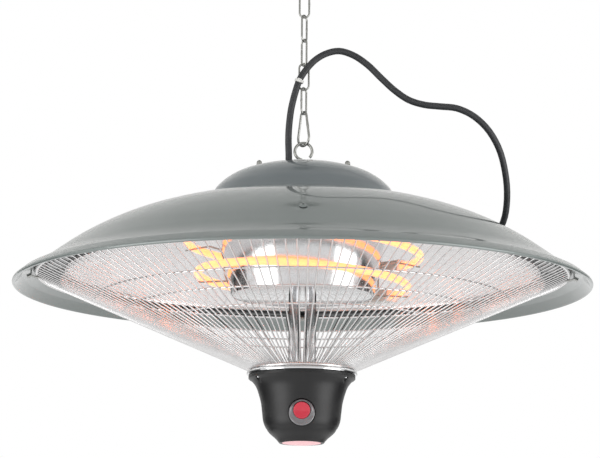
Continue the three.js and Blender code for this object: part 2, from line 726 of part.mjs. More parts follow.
// Clips: bent strips against the inside of the brim, hooked under the guard's outer ring
const hookLevel = guardRingHeight - guardRingWire - clearance;
const clipOuter = guardRingRadius + clipPadReach;
const clipMiddle = guardRingRadius + clipBendReach;
const clipInner = guardRingRadius - guardRingWire - clearance;
const padDrop = 2 * clearance;
const clipOutline = [
  [clipOuter, underShade(clipOuter) - padDrop], [clipMiddle, underShade(clipMiddle) - padDrop],
  [guardRingRadius + guardRingWire, hookLevel], [clipInner, hookLevel], [clipInner, guardRingHeight],
  [clipInner - clipThickness, guardRingHeight], [clipInner - clipThickness, hookLevel - clipThickness],
  [guardRingRadius + guardRingWire, hookLevel - clipThickness],
  [clipMiddle, underShade(clipMiddle) - padDrop - clipThickness],
  [clipOuter, underShade(clipOuter) - padDrop - clipThickness],
];
for (let i = 0; i < clipCount; i += 1) {
  const outline = new THREE.Shape(clipOutline.map(([x, y]) => new THREE.Vector2(x, y)));
  const strip = new THREE.ExtrudeGeometry(outline, { depth: clipWidth, bevelEnabled: false });
  strip.translate(0, 0, -clipWidth / 2).rotateX(quarterTurn).rotateZ(fullTurn * i / clipCount);
  place(`guard_clip_${i + 1}`, strip, platedWire);
}

// Collar: a plate under the guard's foot ring, with a rounded edge
const collarTop = guardFootHeight - guardFootWire - clearance;
const collarFoot = collarTop - collarThickness;
const collarProfile = [
  [0, collarTop], [collarRadius - collarEdgeRound, collarTop], [collarRadius, collarTop - collarEdgeRound],
  [collarRadius, collarFoot + collarEdgeRound], [collarRadius - collarEdgeRound, collarFoot], [0, collarFoot],
];
const housingScrewAngles = Array.from(
  { length: housingScrewCount }, (_, i) => housingScrewStart - fullTurn * i / housingScrewCount,
);
const atScrew = (geometry, angle) => geometry.translate(housingScrewCircle, 0, 0).rotateZ(angle);
const shankHole = screwShankRadius + clearance;
const collarCuts = [
  ...tubeHoles(collarFoot - cutOverrun, collarTop + cutOverrun),
  ...housingScrewAngles.map((angle) => atScrew(
    bar(shankHole, collarFoot - cutOverrun, collarTop - collarEdgeRound, smallSides), angle,
  )),
];
place('collar', cutBy(turned(collarProfile, spunSides), collarCuts), polishedMetal);

// Support tubes, from above the drum's plate to below the collar
tubePlaces.forEach((x, i) => {
  const [low, high] = [collarFoot - tubeBottomReach, plateUnder + drumPlateThickness + tubeTopReach];
  const tube = turned([[tubeBore, low], [tubeRadius, low], [tubeRadius, high], [tubeBore, high]], barSides);
  place(`support_tube_${['left', 'right'][i]}`, tube.translate(x, 0, 0), polishedMetal);
});

// Control housing: the bell's wall, a boss behind the switch's recess and one round each screw. Its inner
// face is a plainer line than its outer one, from below the flange down.
const housingTop = collarFoot - clearance;
const housingFoot = housingTop - housingHeight;
const housingLine = housingOutlineShares.map(([r, d]) => [r * housingRadius, housingTop - d * housingHeight]);
const housingBore = housingRadius - housingWall;
const housingInside = inset(housingLine, housingWall).filter((_, i) => i > insideStart && i % 2 === 0);
housingInside.unshift([housingBore, housingTop], [housingBore, housingTop - housingFlange]);
const mouth = [[mouthRadius, housingFoot], [mouthRadius, housingFoot + mouthLip]];
const housingShell = turned([...housingLine, ...mouth, ...housingInside.reverse()], turnedSides);
const housingSolid = toSolid(turned([[0, housingTop], ...housingLine, [0, housingFoot]], turnedSides));
const switchHeight = housingTop - switchDrop;
const toFront = (geometry) => geometry.rotateX(quarterTurn).translate(0, -recessFloor, switchHeight);
const recessBoss = toFront(bar(recessRadius + recessBossWall, -housingWall, recessFloor, turnedSides));
const screwBosses = housingScrewAngles.map((angle) => atScrew(
  bar(pocketBossRadius, housingTop - housingFlange - pocketDepth - housingWall, housingTop), angle,
));
const bosses = [recessBoss, ...screwBosses].map((boss) => toSolid(boss).intersect(housingSolid));
const housingBody = bosses.reduce((whole, boss) => whole.add(boss), toSolid(housingShell));
const pocketTop = housingTop - housingFlange;
const screwPocket = (angle) => atScrew(bar(pocketRadius, pocketTop - pocketDepth, pocketTop, smallSides), angle);
const barrelHole = bar(switchBarrelRadius + clearance, -housingWall - cutOverrun, cutOverrun, turnedSides);
barrelHole.translate(0, rockerLift, 0);
const housingCuts = [
  toFront(bar(recessRadius, 0, recessFloor, turnedSides)),
  toFront(barrelHole),
  ...housingScrewAngles.map(screwPocket),
  ...housingScrewAngles.map((angle) => atScrew(
    bar(shankHole, pocketTop - cutOverrun, housingTop + cutOverrun, smallSides), angle,
  )),
];
place('control_housing', cutBy(toGeometry(housingBody), housingCuts), blackMoulding);

housingScrewAngles.forEach((angle, i) => {
  const headTop = pocketTop - clearance;
  const tip = collarTop - collarEdgeRound - clearance;
  const screw = turned([
    [0, tip], [screwShankRadius, tip], [screwShankRadius, headTop], [screwHeadRadius, headTop],
    [screwHeadRadius, headTop - 0.5 * screwHeadHeight], [0.5 * screwHeadRadius, headTop - screwHeadHeight],
    [0, headTop - screwHeadHeight],
  ], smallSides);
  place(`housing_screw_${i + 1}`, atScrew(screw, angle), polishedMetal);
});

// Rocker switch, drawn with the front-to-back line through the recess as Z and up as Y. Its bezel is an
// oblique dish: round in the recess at its rim, and round about the higher rocker at its bore.
const switchProfile = [
  [0, -switchBodyDepth], [switchBarrelRadius, -switchBodyDepth], [switchBarrelRadius, clearance],
  [bezelRadius, clearance], [bezelRadius, bezelRise], [rockerBore, bezelLipRise],
  [rockerBore, -switchCupDepth], [0, -switchCupDepth],
];
const switchShape = turned(switchProfile, turnedSides);
const switchCorners = switchShape.attributes.position;
for (let i = 0; i < switchCorners.count; i += 1) {
  const radius = Math.hypot(switchCorners.getX(i), switchCorners.getY(i));
  const share = (bezelRadius - radius) / (bezelRadius - switchBarrelRadius);
  switchCorners.setY(i, switchCorners.getY(i) + rockerLift * THREE.MathUtils.clamp(share, 0, 1));
}
place('switch_body', toFront(switchShape), polishedMetal);

const rockerEnd = rockerRadius + clearance;
const rockerSection = new THREE.Shape([
  [-rockerEnd, -rockerSkirt], [0, -rockerKeel], [rockerEnd, -rockerSkirt], [rockerEnd, rockerRise],
  [0, rockerDip], [-rockerEnd, rockerRise],
].map(([x, y]) => new THREE.Vector2(x, y)));
const rockerBlock = new THREE.ExtrudeGeometry(rockerSection, { depth: 2 * rockerEnd, bevelEnabled: false });
rockerBlock.translate(0, 0, -rockerEnd).rotateX(quarterTurn).rotateZ(quarterTurn);
const rockerDisc = toSolid(bar(rockerRadius, -rockerKeel - cutOverrun, rockerRise + cutOverrun, turnedSides));
const rocker = toGeometry(rockerDisc.intersect(toSolid(rockerBlock)));
place('rocker', toFront(rocker.rotateX(rockerTilt).translate(0, rockerLift, 0)), redLens);

// Lens: a shallow cup in the housing's mouth, its flange on the mouth's lip
const lensSeat = housingFoot + mouthLip + clearance;
const lensFoot = housingFoot - lensBulge;
const lensProfile = [
  [0, lensFoot], [0.55 * lensRadius, lensFoot + 0.3 * lensBulge],
  [0.85 * lensRadius, lensFoot + 0.75 * lensBulge], [lensRadius, housingFoot],
  [lensRadius, lensSeat], [lensFlangeRadius, lensSeat],
  [lensFlangeRadius, lensSeat + lensFlangeThickness], [lensRadius - lensWall, lensSeat + lensFlangeThickness],
  [lensRadius - lensWall, housingFoot], [0, lensFoot + lensWall],
];
place('lens', turned(lensProfile, turnedSides), pinkLens);

const boardFoot = lensSeat + lensFlangeThickness + clearance;
const board = bar(boardRadius, boardFoot, boardFoot + boardThickness, turnedSides);
const led = bar(ledRadius, boardFoot - ledHeight, boardFoot + clearance, smallSides);
place('indicator_board', fused([board, led]), boardGreen);

// Terminal block behind the tubes, against the underside of the collar
const terminalShape = new THREE.Shape();
const wayPitch = terminalLength / terminalWays;
terminalShape.moveTo(-terminalLength / 2, 0);
for (let way = 0; way < terminalWays; way += 1) {
  const [start, end] = [way, way + 1].map((n) => n * wayPitch - terminalLength / 2);
  const shoulder = way === 0 ? 0 : terminalSlot / 2;
  const shoulderEnd = way === terminalWays - 1 ? 0 : terminalSlot / 2;
  terminalShape.lineTo(start + shoulder, -terminalHeight);
  terminalShape.lineTo(end - shoulderEnd, -terminalHeight);
  if (shoulderEnd > 0) {
    terminalShape.lineTo(end - shoulderEnd, -terminalHeight / 2);
    terminalShape.lineTo(end + shoulderEnd, -terminalHeight / 2);
  }
}
terminalShape.lineTo(terminalLength / 2, 0);
const terminal = new THREE.ExtrudeGeometry(terminalShape, { depth: terminalDepth, bevelEnabled: false });
terminal.rotateX(quarterTurn).translate(0, terminalBehind + terminalDepth / 2, collarFoot - clearance);
place('terminal_block', terminal, ceramicWhite);

// Chain. A loop lies in a plane through the Z axis, at its own turn about it.
const pearBottom = eyeCentre + eyeRadius - eyeWire - pearWire - pearClearance;
const pearTop = pearBottom + pearLength;
const pearLow = pearBottom + pearBottomRadius;
const pearHigh = pearTop - pearTopRadius;
const pearFlare = Math.asin((pearBottomRadius - pearTopRadius) / (pearHigh - pearLow));
const pearPoints = [
  ...arcPoints(pearTopRadius, pearFlare, Math.PI - pearFlare, pearTopSteps, pearHigh),
  ...arcPoints(pearBottomRadius, Math.PI - pearFlare, fullTurn + pearFlare, pearBottomSteps, pearLow),
];
place('pear_link', tubeAlong(pearPoints, pearWire, wireSides, true).rotateZ(pearTurn), platedWire);

const linkPitch = linkLength - 2 * linkWire - clearance;
const firstLinkBottom = pearTop - pearWire - linkWire - clearance;
const linkBottoms = linkTurns.map((_, i) => firstLinkBottom + i * linkPitch);
linkTurns.forEach((turn, i) => {
  const low = linkBottoms[i] + linkBend;
  const high = linkBottoms[i] + linkLength - linkBend;
  const loop = [
    ...arcPoints(linkBend, 0, Math.PI, linkEndSteps, high),
    ...arcPoints(linkBend, Math.PI, fullTurn, linkEndSteps, low),
  ];
  place(`chain_link_${i + 1}`, tubeAlong(loop, linkWire, wireSides, true).rotateZ(turn), platedWire);
});

// Ceiling plate with its hook, and the plate's two countersunk screws
const hookBottom = linkBottoms.at(-1) + linkLength - linkWire - hookWire - clearance;
const hookCentre = hookBottom + hookRadius;
const plateFoot = hookCentre + hookRadius + hookShank;
const ceilingLevel = plateFoot + plateThickness;
const hookArc = arcPoints(hookRadius, quarterTurn, quarterTurn - fullTurn + hookOpening, hookSteps, hookCentre);
const stemFoot = hookCentre + hookRadius - hookWire / 2;
const hookStem = bar(hookWire, stemFoot, plateFoot + plateThickness / 2, smallSides);
const ceilingDisc = bar(plateRadius, plateFoot, ceilingLevel, turnedSides);
const plateHookBody = fused([tubeAlong(hookArc, hookWire, wireSides), hookStem, ceilingDisc]).rotateZ(hookTurn);
const screwFoot = plateFoot + plateScrewInset;
const coneTop = screwFoot + plateScrewHead - plateScrewShank;
const plateScrews = [-plateScrewSpacing / 2, plateScrewSpacing / 2];
const screwShape = (slack) => [
  [0, screwFoot - slack * cutOverrun], [plateScrewHead + slack, screwFoot - slack * cutOverrun],
  [plateScrewHead + slack, screwFoot], [plateScrewShank + slack, coneTop],
  [plateScrewShank + slack, ceilingLevel + slack * cutOverrun - clearance * (1 - slack)],
  [0, ceilingLevel + slack * cutOverrun - clearance * (1 - slack)],
];
const screwCuts = plateScrews.map((x) => turned(screwShape(clearance), smallSides).translate(x, 0, 0));
place('ceiling_plate', cutBy(plateHookBody, screwCuts), platedWire);
plateScrews.forEach((x, i) => {
  const screw = turned(screwShape(0), smallSides).translate(x, 0, 0);
  place(`ceiling_screw_${['left', 'right'][i]}`, screw, polishedMetal);
});

// Grommet: a low flange on the cap with a neck that tapers inside it
const grommetSeat = onCap(Math.abs(cordExit) - grommetRadius) + clearance;
const grommetTop = grommetSeat + grommetRise;
const grommetProfile = [
  [cordRadius, grommetTop], [0.86 * grommetRadius, grommetTop], [grommetRadius, grommetSeat + 0.4 * grommetRise],
  [grommetRadius, grommetSeat], [grommetNeck, grommetSeat], [grommetNeck, grommetSeat - grommetTail],
  [cordRadius, grommetSeat - grommetTail],
];
place('cord_grommet', turned(grommetProfile, barSides).translate(cordExit, 0, 0), blackRubber);

// A coil as wound: in towards the middle on the lower layer, up at the turn, and out on the upper one.
// Its own frame has the coil flat on z = 0, and its start is a straight lead along the X axis.
const coilOuter = coilBend + coilLoops * coilPitch / 2;
const coilInner = coilBend - coilLoops * coilPitch / 2;
const lead = 2 * cordRadius;
const coilPoints = [lead, lead / 2].map((x) => new THREE.Vector3(x, coilOuter, cordRadius));
const coilTurn = (turn, radius, height) => {
  const angle = quarterTurn + fullTurn * turn;
  coilPoints.push(new THREE.Vector3(radius * Math.cos(angle), radius * Math.sin(angle), height));
};
const spiralSteps = coilLoops * coilSteps;
const climbSteps = coilSteps / 2;
for (let i = 0; i <= spiralSteps; i += 1) {
  coilTurn(i / coilSteps, coilOuter - (coilOuter - coilInner) * i / spiralSteps, cordRadius);
}
for (let i = 1; i <= climbSteps; i += 1) {
  const share = i / climbSteps;
  const rise = (1 - Math.cos(Math.PI * share)) / 2;
  const radius = coilInner - coilDip * Math.sin(Math.PI * share);
  coilTurn(coilLoops + share / 2, radius, cordRadius + coilLayer * rise);
}
const outSteps = spiralSteps - climbSteps / 2;
for (let i = 1; i <= outSteps; i += 1) {
  const radius = coilInner + (coilOuter - coilInner) * i / outSteps;
  coilTurn(coilLoops + 0.5 + i / coilSteps, radius, cordRadius + coilLayer);
}
const coilWay = (from, to) => to.clone().sub(from).normalize();
const outWay = coilWay(coilPoints.at(-2), coilPoints.at(-1));
coilPoints.push(coilPoints.at(-1).clone().addScaledVector(outWay, lead));

// The least gap between two stretches of the tube that lie more than a quarter turn apart
function leastGap(points, diameter, apart) {
  let least = Infinity;
  for (let i = 0; i < points.length; i += 1) {
    for (let j = i + apart; j < points.length; j += 1) {
      least = Math.min(least, points[i].distanceTo(points[j]) - diameter);
    }
  }
  return least;
}
const coilGap = leastGap(coilPoints, 2 * cordRadius, coilSteps / 4);
console.log(`coil: least gap between turns ${coilGap.toFixed(2)} mm`);

// A frame on the shade's skin at a place in plan: its X axis runs along the heading, and its Z axis is
// square to the skin. The rise lets a part clear the dome under all of its contact points.
function skinFrame(place2d, heading, contacts) {
  const skin = (x, y) => onShade(Math.hypot(x, y));
  const { x, y } = place2d;
  const slopeX = (skin(x + cordRadius, y) - skin(x - cordRadius, y)) / lead;
  const slopeY = (skin(x, y + cordRadius) - skin(x, y - cordRadius)) / lead;
  const up = new THREE.Vector3(-slopeX, -slopeY, 1).normalize();
  const along = new THREE.Vector3(Math.cos(heading), Math.sin(heading), 0);
  along.addScaledVector(up, -along.dot(up)).normalize();
  const frame = new THREE.Matrix4().makeBasis(along, up.clone().cross(along), up);
  frame.setPosition(x, y, skin(x, y));
  const proud = contacts.map((contact) => {
    const point = contact.clone().applyMatrix4(frame);
    return (skin(point.x, point.y) - point.z) / up.z;
  });
  const rise = Math.max(...proud) + clearance;
  return frame.multiply(new THREE.Matrix4().makeTranslation(0, 0, rise / up.z));
}

const coilContacts = coilPoints.slice(0, spiralSteps).map((point) => point.clone().setZ(0));
const tieUnder = tieThickness + clearance;
for (let radius = coilInner - lead; radius < coilOuter; radius += cordRadius) {
  coilContacts.push(new THREE.Vector3(0, -radius, -tieUnder));
}
const coilFrame = skinFrame(new THREE.Vector2(0, coilPlace), 0, coilContacts);
place('cord_coil', tubeAlong(coilPoints, cordRadius, coilSides).applyMatrix4(coilFrame), blackRubber);

// The coil's tie: a band round both layers, on the side away from the leads
const bandRing = (points, holePoints) => {
  const outline = new THREE.Shape(points);
  outline.holes.push(new THREE.Path(holePoints));
  return new THREE.ExtrudeGeometry(outline, { depth: tieWidth, bevelEnabled: false });
};
const roundedBox = (low, high, corner, grow) => {
  const points = [];
  [[high.x, high.y], [low.x, high.y], [low.x, low.y], [high.x, low.y]].forEach(([x, y], quadrant) => {
    for (let step = 0; step <= tieCornerSteps; step += 1) {
      const angle = quarterTurn * (quadrant + step / tieCornerSteps);
      const centreX = x === high.x ? x - corner : x + corner;
      const centreY = y === high.y ? y - corner : y + corner;
      const reach = corner + grow;
      points.push(new THREE.Vector2(centreX + reach * Math.cos(angle), centreY + reach * Math.sin(angle)));
    }
  });
  return points;
};
const tieCorner = cordRadius;
const bundleLow = new THREE.Vector2(coilInner - coilDip - cordRadius, 0).subScalar(clearance);
const bundleHigh = new THREE.Vector2(coilOuter + cordRadius, 2 * cordRadius + coilLayer).addScalar(clearance);
const coilBand = bandRing(
  roundedBox(bundleLow, bundleHigh, tieCorner, tieThickness), roundedBox(bundleLow, bundleHigh, tieCorner, 0),
);
coilBand.translate(0, 0, -tieWidth / 2).rotateX(quarterTurn).rotateZ(-quarterTurn);
place('coil_tie', coilBand.applyMatrix4(coilFrame), whiteNylon);

// Plug: a round two-pin plug lying on the shade beside the coil, its axis drawn here as X
const plugOutline = [
  [0, 0], [plugNeck, 0], [plugNeck, 0.3 * plugLength], [0.62 * plugRadius, 0.42 * plugLength],
  [plugRadius, 0.62 * plugLength], [plugRadius, plugLength], [0, plugLength],
];
const plugBody = turned(plugOutline, barSides);
const plugPins = [-plugPinSpacing / 2, plugPinSpacing / 2].map((y) => bar(
  plugPinRadius, plugLength - plugPinRadius, plugLength + plugPinLength, smallSides,
).translate(0, y, 0));
const plugContacts = [0.62 * plugLength, plugLength].map((x) => new THREE.Vector3(x - plugLength / 2, 0, 0));
const plugFrame = skinFrame(plugPlace, plugHeading, plugContacts);
const plugAxis = new THREE.Matrix4().makeTranslation(-plugLength / 2, 0, plugRadius);
plugFrame.multiply(plugAxis);
place('plug', fused([plugBody, ...plugPins]).rotateY(quarterTurn).applyMatrix4(plugFrame), blackRubber);

// The free stretches: from the grommet over the tie to the coil, and from the coil to the plug
const straightOut = (from, way, gap) => [gap, lead / 2 + gap, lead + gap].map(
  (reach) => from.clone().addScaledVector(way, reach),
);
const coilStart = coilPoints[0].clone().applyMatrix4(coilFrame);
const coilStartWay = coilWay(coilPoints[1], coilPoints[0]).transformDirection(coilFrame);
const coilEnd = coilPoints.at(-1).clone().applyMatrix4(coilFrame);
const coilEndWay = outWay.clone().transformDirection(coilFrame);
const grommetMouth = new THREE.Vector3(cordExit, 0, grommetTop);
const cordPoints = [
  ...straightOut(grommetMouth, new THREE.Vector3(0, 0, 1), clearance),
  ...cordRoute.map((point) => new THREE.Vector3(...point)),
  ...straightOut(coilStart, coilStartWay, clearance).reverse(),
];
const cordCurve = new THREE.CatmullRomCurve3(cordPoints, false, 'centripetal');
place('supply_cord', cordAlong(cordCurve, cordRadius, smallSides, cordSteps), blackRubber);

const plugMouth = new THREE.Vector3().applyMatrix4(plugFrame);
const plugWay = new THREE.Vector3(-1, 0, 0).transformDirection(plugFrame);
const leadPoints = [
  ...straightOut(coilEnd, coilEndWay, clearance),
  ...straightOut(plugMouth, plugWay, clearance).reverse(),
];
const leadCurve = new THREE.CatmullRomCurve3(leadPoints, false, 'centripetal');
place('plug_lead', cordAlong(leadCurve, cordRadius, smallSides, leadSteps), blackRubber);

// The cord's tie: a band round the cord and the near side of the second link, square to the cord
const tieMiddle = linkBottoms[1] + linkBend + cordRadius;
const cordStations = cordCurve.getSpacedPoints(cordSteps);
const tieStation = cordStations.findIndex((point) => point.z > tieMiddle);
const [tieBelow, tieAbove] = cordStations.slice(tieStation - 1, tieStation + 1);
const tieShare = (tieMiddle - tieBelow.z) / (tieAbove.z - tieBelow.z);
const tieCentre = tieBelow.clone().lerp(tieAbove, tieShare);
const tieAxis = tieAbove.clone().sub(tieBelow).normalize();
const sideways = new THREE.Vector3(-linkBend, 0, tieCentre.z).sub(tieCentre);
sideways.z = -sideways.dot(tieAxis) / tieAxis.z;
const strandAway = sideways.length();
sideways.normalize();
const strandLean = Math.acos(tieAxis.z);
const strandReach = linkWire / Math.cos(strandLean) + tieWidth / 2 * Math.tan(strandLean);
const loopAround = (grow) => {
  const [nearReach, farReach] = [cordRadius, strandReach].map((reach) => reach + clearance + grow);
  const lean = Math.asin((nearReach - farReach) / strandAway);
  const points = [];
  for (let step = 0; step <= tieCordSteps; step += 1) {
    const angle = quarterTurn - lean + (Math.PI + 2 * lean) * step / tieCordSteps;
    points.push(new THREE.Vector2(nearReach * Math.cos(angle), nearReach * Math.sin(angle)));
  }
  for (let step = 0; step <= tieLinkSteps; step += 1) {
    const angle = -quarterTurn + lean + (Math.PI - 2 * lean) * step / tieLinkSteps;
    points.push(new THREE.Vector2(strandAway + farReach * Math.cos(angle), farReach * Math.sin(angle)));
  }
  return points;
};
const tieBand = bandRing(loopAround(tieThickness), loopAround(0));
const headReach = cordRadius + clearance + 0.5 * tieThickness;
const tieHeadBlock = new THREE.BoxGeometry(tieHead, 2 * tieHead, tieWidth + tieThickness);
tieHeadBlock.translate(-headReach - tieHead / 2, 0, tieWidth / 2);
const tieFrame = new THREE.Matrix4().makeBasis(sideways, tieAxis.clone().cross(sideways), tieAxis);
tieFrame.setPosition(tieCentre.clone().addScaledVector(tieAxis, -tieWidth / 2));
place('cord_tie', fused([tieBand, tieHeadBlock]).applyMatrix4(tieFrame), whiteNylon);

hanging.position.z = -ceilingLevel;
const heater = new THREE.Group();
heater.add(hanging);
export default heater;
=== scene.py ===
import math

import bmesh
import bpy
import numpy as np
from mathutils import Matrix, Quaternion, Vector


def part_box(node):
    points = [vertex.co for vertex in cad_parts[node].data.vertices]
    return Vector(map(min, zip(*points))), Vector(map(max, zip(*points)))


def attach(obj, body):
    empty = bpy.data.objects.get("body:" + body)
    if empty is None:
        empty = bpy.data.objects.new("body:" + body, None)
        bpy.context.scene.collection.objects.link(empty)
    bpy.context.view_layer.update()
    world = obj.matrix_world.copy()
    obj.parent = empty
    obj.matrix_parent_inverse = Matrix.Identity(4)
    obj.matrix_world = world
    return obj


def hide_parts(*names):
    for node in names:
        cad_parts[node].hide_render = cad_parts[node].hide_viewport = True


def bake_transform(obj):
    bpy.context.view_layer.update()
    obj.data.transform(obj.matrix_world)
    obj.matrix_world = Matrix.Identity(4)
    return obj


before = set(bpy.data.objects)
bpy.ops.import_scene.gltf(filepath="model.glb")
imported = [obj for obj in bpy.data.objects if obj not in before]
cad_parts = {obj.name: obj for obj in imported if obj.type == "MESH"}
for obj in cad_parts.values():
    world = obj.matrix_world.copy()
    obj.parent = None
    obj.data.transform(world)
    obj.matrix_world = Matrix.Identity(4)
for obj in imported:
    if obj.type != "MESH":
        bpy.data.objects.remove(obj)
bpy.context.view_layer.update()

# Camera: it stands 3.3 m in front of the heater, half a metre below its rim, and looks up at it
# through a long lens. The rim plane is the middle of the bead that ends the shade.
mm = 0.001
bead_radius = 2
rim_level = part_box("shade")[0].z + bead_radius * mm
image_width_px = 600
focal_length_px = 3227
camera_place = (-3.07, -3300, -534.5)
camera_pitch = math.radians(10.23)
camera_roll = math.radians(0.4)
quarter_turn = math.pi / 2


def new_object(name, data):
    """An object of some data, linked to the scene."""
    made = bpy.data.objects.new(name, data)
    bpy.context.scene.collection.objects.link(made)
    return made


camera_data = bpy.data.cameras.new("camera")
camera_data.lens = focal_length_px / image_width_px * camera_data.sensor_width
camera = new_object("camera", camera_data)
camera.location = Vector(camera_place) * mm + Vector((0, 0, rim_level))
camera.rotation_mode = "QUATERNION"
looking_up = Quaternion((1, 0, 0), quarter_turn + camera_pitch)
camera.rotation_quaternion = looking_up @ Quaternion((0, 0, 1), camera_roll)
bpy.context.scene.camera = camera


# Supply cord: a black rubber lead. It leaves the cap through a grommet, is tied to the chain, and
# drops behind the dome, where its spare length lies in a coil of two layers that ends in the plug.
clearance = 0.3
cord_radius = 3.5
cord_exit_x = -15.3
cord_sides = 16
cord_steps = 4
lead_steps = 12
cord_route = [
    (-15.5, -0.2, 144.8), (-15.8, -0.8, 155.5), (-15.5, -1.7, 166.2), (-14.6, -2.6, 176.8),
    (-13.2, -3.4, 187.5), (-10.9, -4.2, 198.2), (-8, -5, 208.8), (-4.6, -5.3, 218.8),
    (2.2, -5.6, 229.6), (11, -5.8, 239.4), (22, -5, 246.6), (36.6, -3, 250.4),
    (51, 0, 246.9), (66, 2, 237.4), (81, 4, 223.2), (96, 5, 209.6),
    (110, 6, 200.4), (126, 7, 195.6), (143, 8, 194.1), (160, 9, 192.6),
    (175, 12, 187), (191, 17, 174.8), (205, 27, 155), (213, 41, 131),
    (216, 58, 106), (213, 78, 84), (203, 96, 69), (188, 112, 61.5),
    (168, 130, 60.4), (142, 147, 63.4), (112, 162, 66.9), (82, 176, 68.2),
    (56, 187, 67.8), (34, 194, 67),
]
coil_bend = 40
coil_pitch = 7.6
coil_layer = 7.5
coil_loops = 2
coil_out_loops = 1.75
coil_dip = 1.5
coil_steps = 48
coil_place = (0, 150.32, 79.51)
coil_tilt = math.radians(15.42)
plug_mouth = (-91.93, 117.49, 97.84)
plug_heading = math.radians(188.03)
plug_dip = math.radians(9.36)
plug_roll = math.radians(12.31)
full_turn = 2 * math.pi


def to_frame(points):
    """Millimetres about the rim's middle to metres in the frame: each point is scaled, then moved."""
    return np.asarray(points, float) * mm + (0, 0, rim_level)


def smooth_line(knots, steps):
    """A smooth line through knots: a cubic over each span, whose slope at a knot is the mean of the two
    spans' slopes, each weighted by the other's length."""
    knots = np.asarray(knots, float)
    spans = np.diff(knots, axis=0)
    lengths = np.linalg.norm(spans, axis=1)[:, None]
    slopes = spans / lengths
    before, after = lengths[:-1], lengths[1:]
    middle = (slopes[:-1] * after + slopes[1:] * before) / (before + after)
    tangents = np.vstack([slopes[:1], middle, slopes[-1:]])
    u = (np.arange(steps) / steps)[None, :, None]
    start, end = knots[:-1, None], knots[1:, None]
    out, into = (tangents[:-1] * lengths)[:, None], (tangents[1:] * lengths)[:, None]
    line = (1 + 2 * u) * (1 - u) ** 2 * start + u * (1 - u) ** 2 * out
    line = line + u**2 * (3 - 2 * u) * end + u**2 * (u - 1) * into
    return np.vstack([line.reshape(-1, knots.shape[1]), knots[-1:]])


def around(angles, radii, heights=0):
    """Points round the Z axis: the radius times each angle's cosine and sine, at a height."""
    return np.stack([radii * np.cos(angles), radii * np.sin(angles), heights + 0 * angles], axis=1)


def tipped(angle):
    """The three axes of a piece that is turned about the X axis by an angle."""
    cosine, sine = math.cos(angle), math.sin(angle)
    return np.array([(1, 0, 0), (0, cosine, sine), (0, -sine, cosine)])


def unit(vectors):
    """Vectors divided by their own lengths."""
    vectors = np.asarray(vectors, float)
    return vectors / np.linalg.norm(vectors, axis=-1, keepdims=True)


coil_outer = coil_bend + coil_loops * coil_pitch / 2
coil_inner = coil_bend - coil_loops * coil_pitch / 2
straight_lead = 2 * cord_radius
inward = np.linspace(0, 1, coil_loops * coil_steps + 1)
climb = np.linspace(0, 1, coil_steps // 2 + 1)[1:]
outward = np.linspace(0, 1, round(coil_out_loops * coil_steps) + 1)[1:]
lower_radii = coil_outer + (coil_inner - coil_outer) * inward
climb_radii = coil_inner - coil_dip * np.sin(math.pi * climb)
climb_heights = cord_radius + coil_layer * (1 - np.cos(math.pi * climb)) / 2
upper_turns = coil_loops + 0.5 + coil_out_loops * outward
upper_radii = coil_inner + (coil_outer - coil_inner) * outward
coil_lower = around(quarter_turn + full_turn * (coil_loops * inward), lower_radii, cord_radius)
coil_climb = around(quarter_turn + full_turn * (coil_loops + climb / 2), climb_radii, climb_heights)
coil_upper = around(quarter_turn + full_turn * upper_turns, upper_radii, cord_radius + coil_layer)
coil_wound = np.vstack([[(straight_lead, coil_outer, cord_radius)], coil_lower, coil_climb, coil_upper])
coil_end = coil_wound[-1] + straight_lead * unit(coil_wound[-1] - coil_wound[-2])
coil_wound = np.vstack([coil_wound, coil_end])
coil_path = coil_wound @ tipped(-coil_tilt) + coil_place
plug_way = np.array([
    math.cos(plug_heading) * math.cos(plug_dip),
    math.sin(plug_heading) * math.cos(plug_dip),
    -math.sin(plug_dip),
])
grommet_top = (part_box("cord_grommet")[1].z - rim_level) / mm
cord_exit = np.array([cord_exit_x, 0, grommet_top + clearance])
run_out = np.array([0, 1, 2])[:, None] * cord_radius
coil_start_way = unit(coil_path[0] - coil_path[1])
coil_end_way = unit(coil_path[-1] - coil_path[-2])
free_knots = np.vstack([
    cord_exit + run_out * (0, 0, 1),
    cord_route,
    (coil_path[0] + run_out * coil_start_way)[::-1],
])
lead_knots = np.vstack([
    coil_path[-1] + run_out * coil_end_way,
    (np.array(plug_mouth) - (run_out + clearance) * plug_way)[::-1],
])
cord_path = np.vstack([
    smooth_line(free_knots, cord_steps)[:-1], coil_path[:-1], smooth_line(lead_knots, lead_steps),
])


def hex_colour(text):
    """An sRGB hex colour as a linear one: each share is divided by 12.92 when dark, or else takes the
    power curve of sRGB."""
    shares = np.array([int(text[i:i + 2], 16) for i in (0, 2, 4)]) / 255
    linear = np.where(shares <= 0.04045, shares / 12.92, ((shares + 0.055) / 1.055) ** 2.4)
    return (*linear, 1)


def add_node(tree, kind, inputs=None, **settings):
    """Adds a node with its settings. An input is linked where it is another node's output, and is named,
    or numbered where the node has several of one name."""
    node = tree.nodes.new(kind)
    for name, value in settings.items():
        setattr(node, name, value)
    for name, value in (inputs or {}).items():
        if isinstance(value, bpy.types.NodeSocket):
            tree.links.new(value, node.inputs[name])
        else:
            node.inputs[name].default_value = value
    return node


def new_material(name):
    """A material with an empty node tree, and the tree's object coordinates."""
    material = bpy.data.materials.new(name)
    material.use_nodes = True
    material.node_tree.nodes.clear()
    return material, material.node_tree, add_node(material.node_tree, "ShaderNodeTexCoord").outputs["Object"]


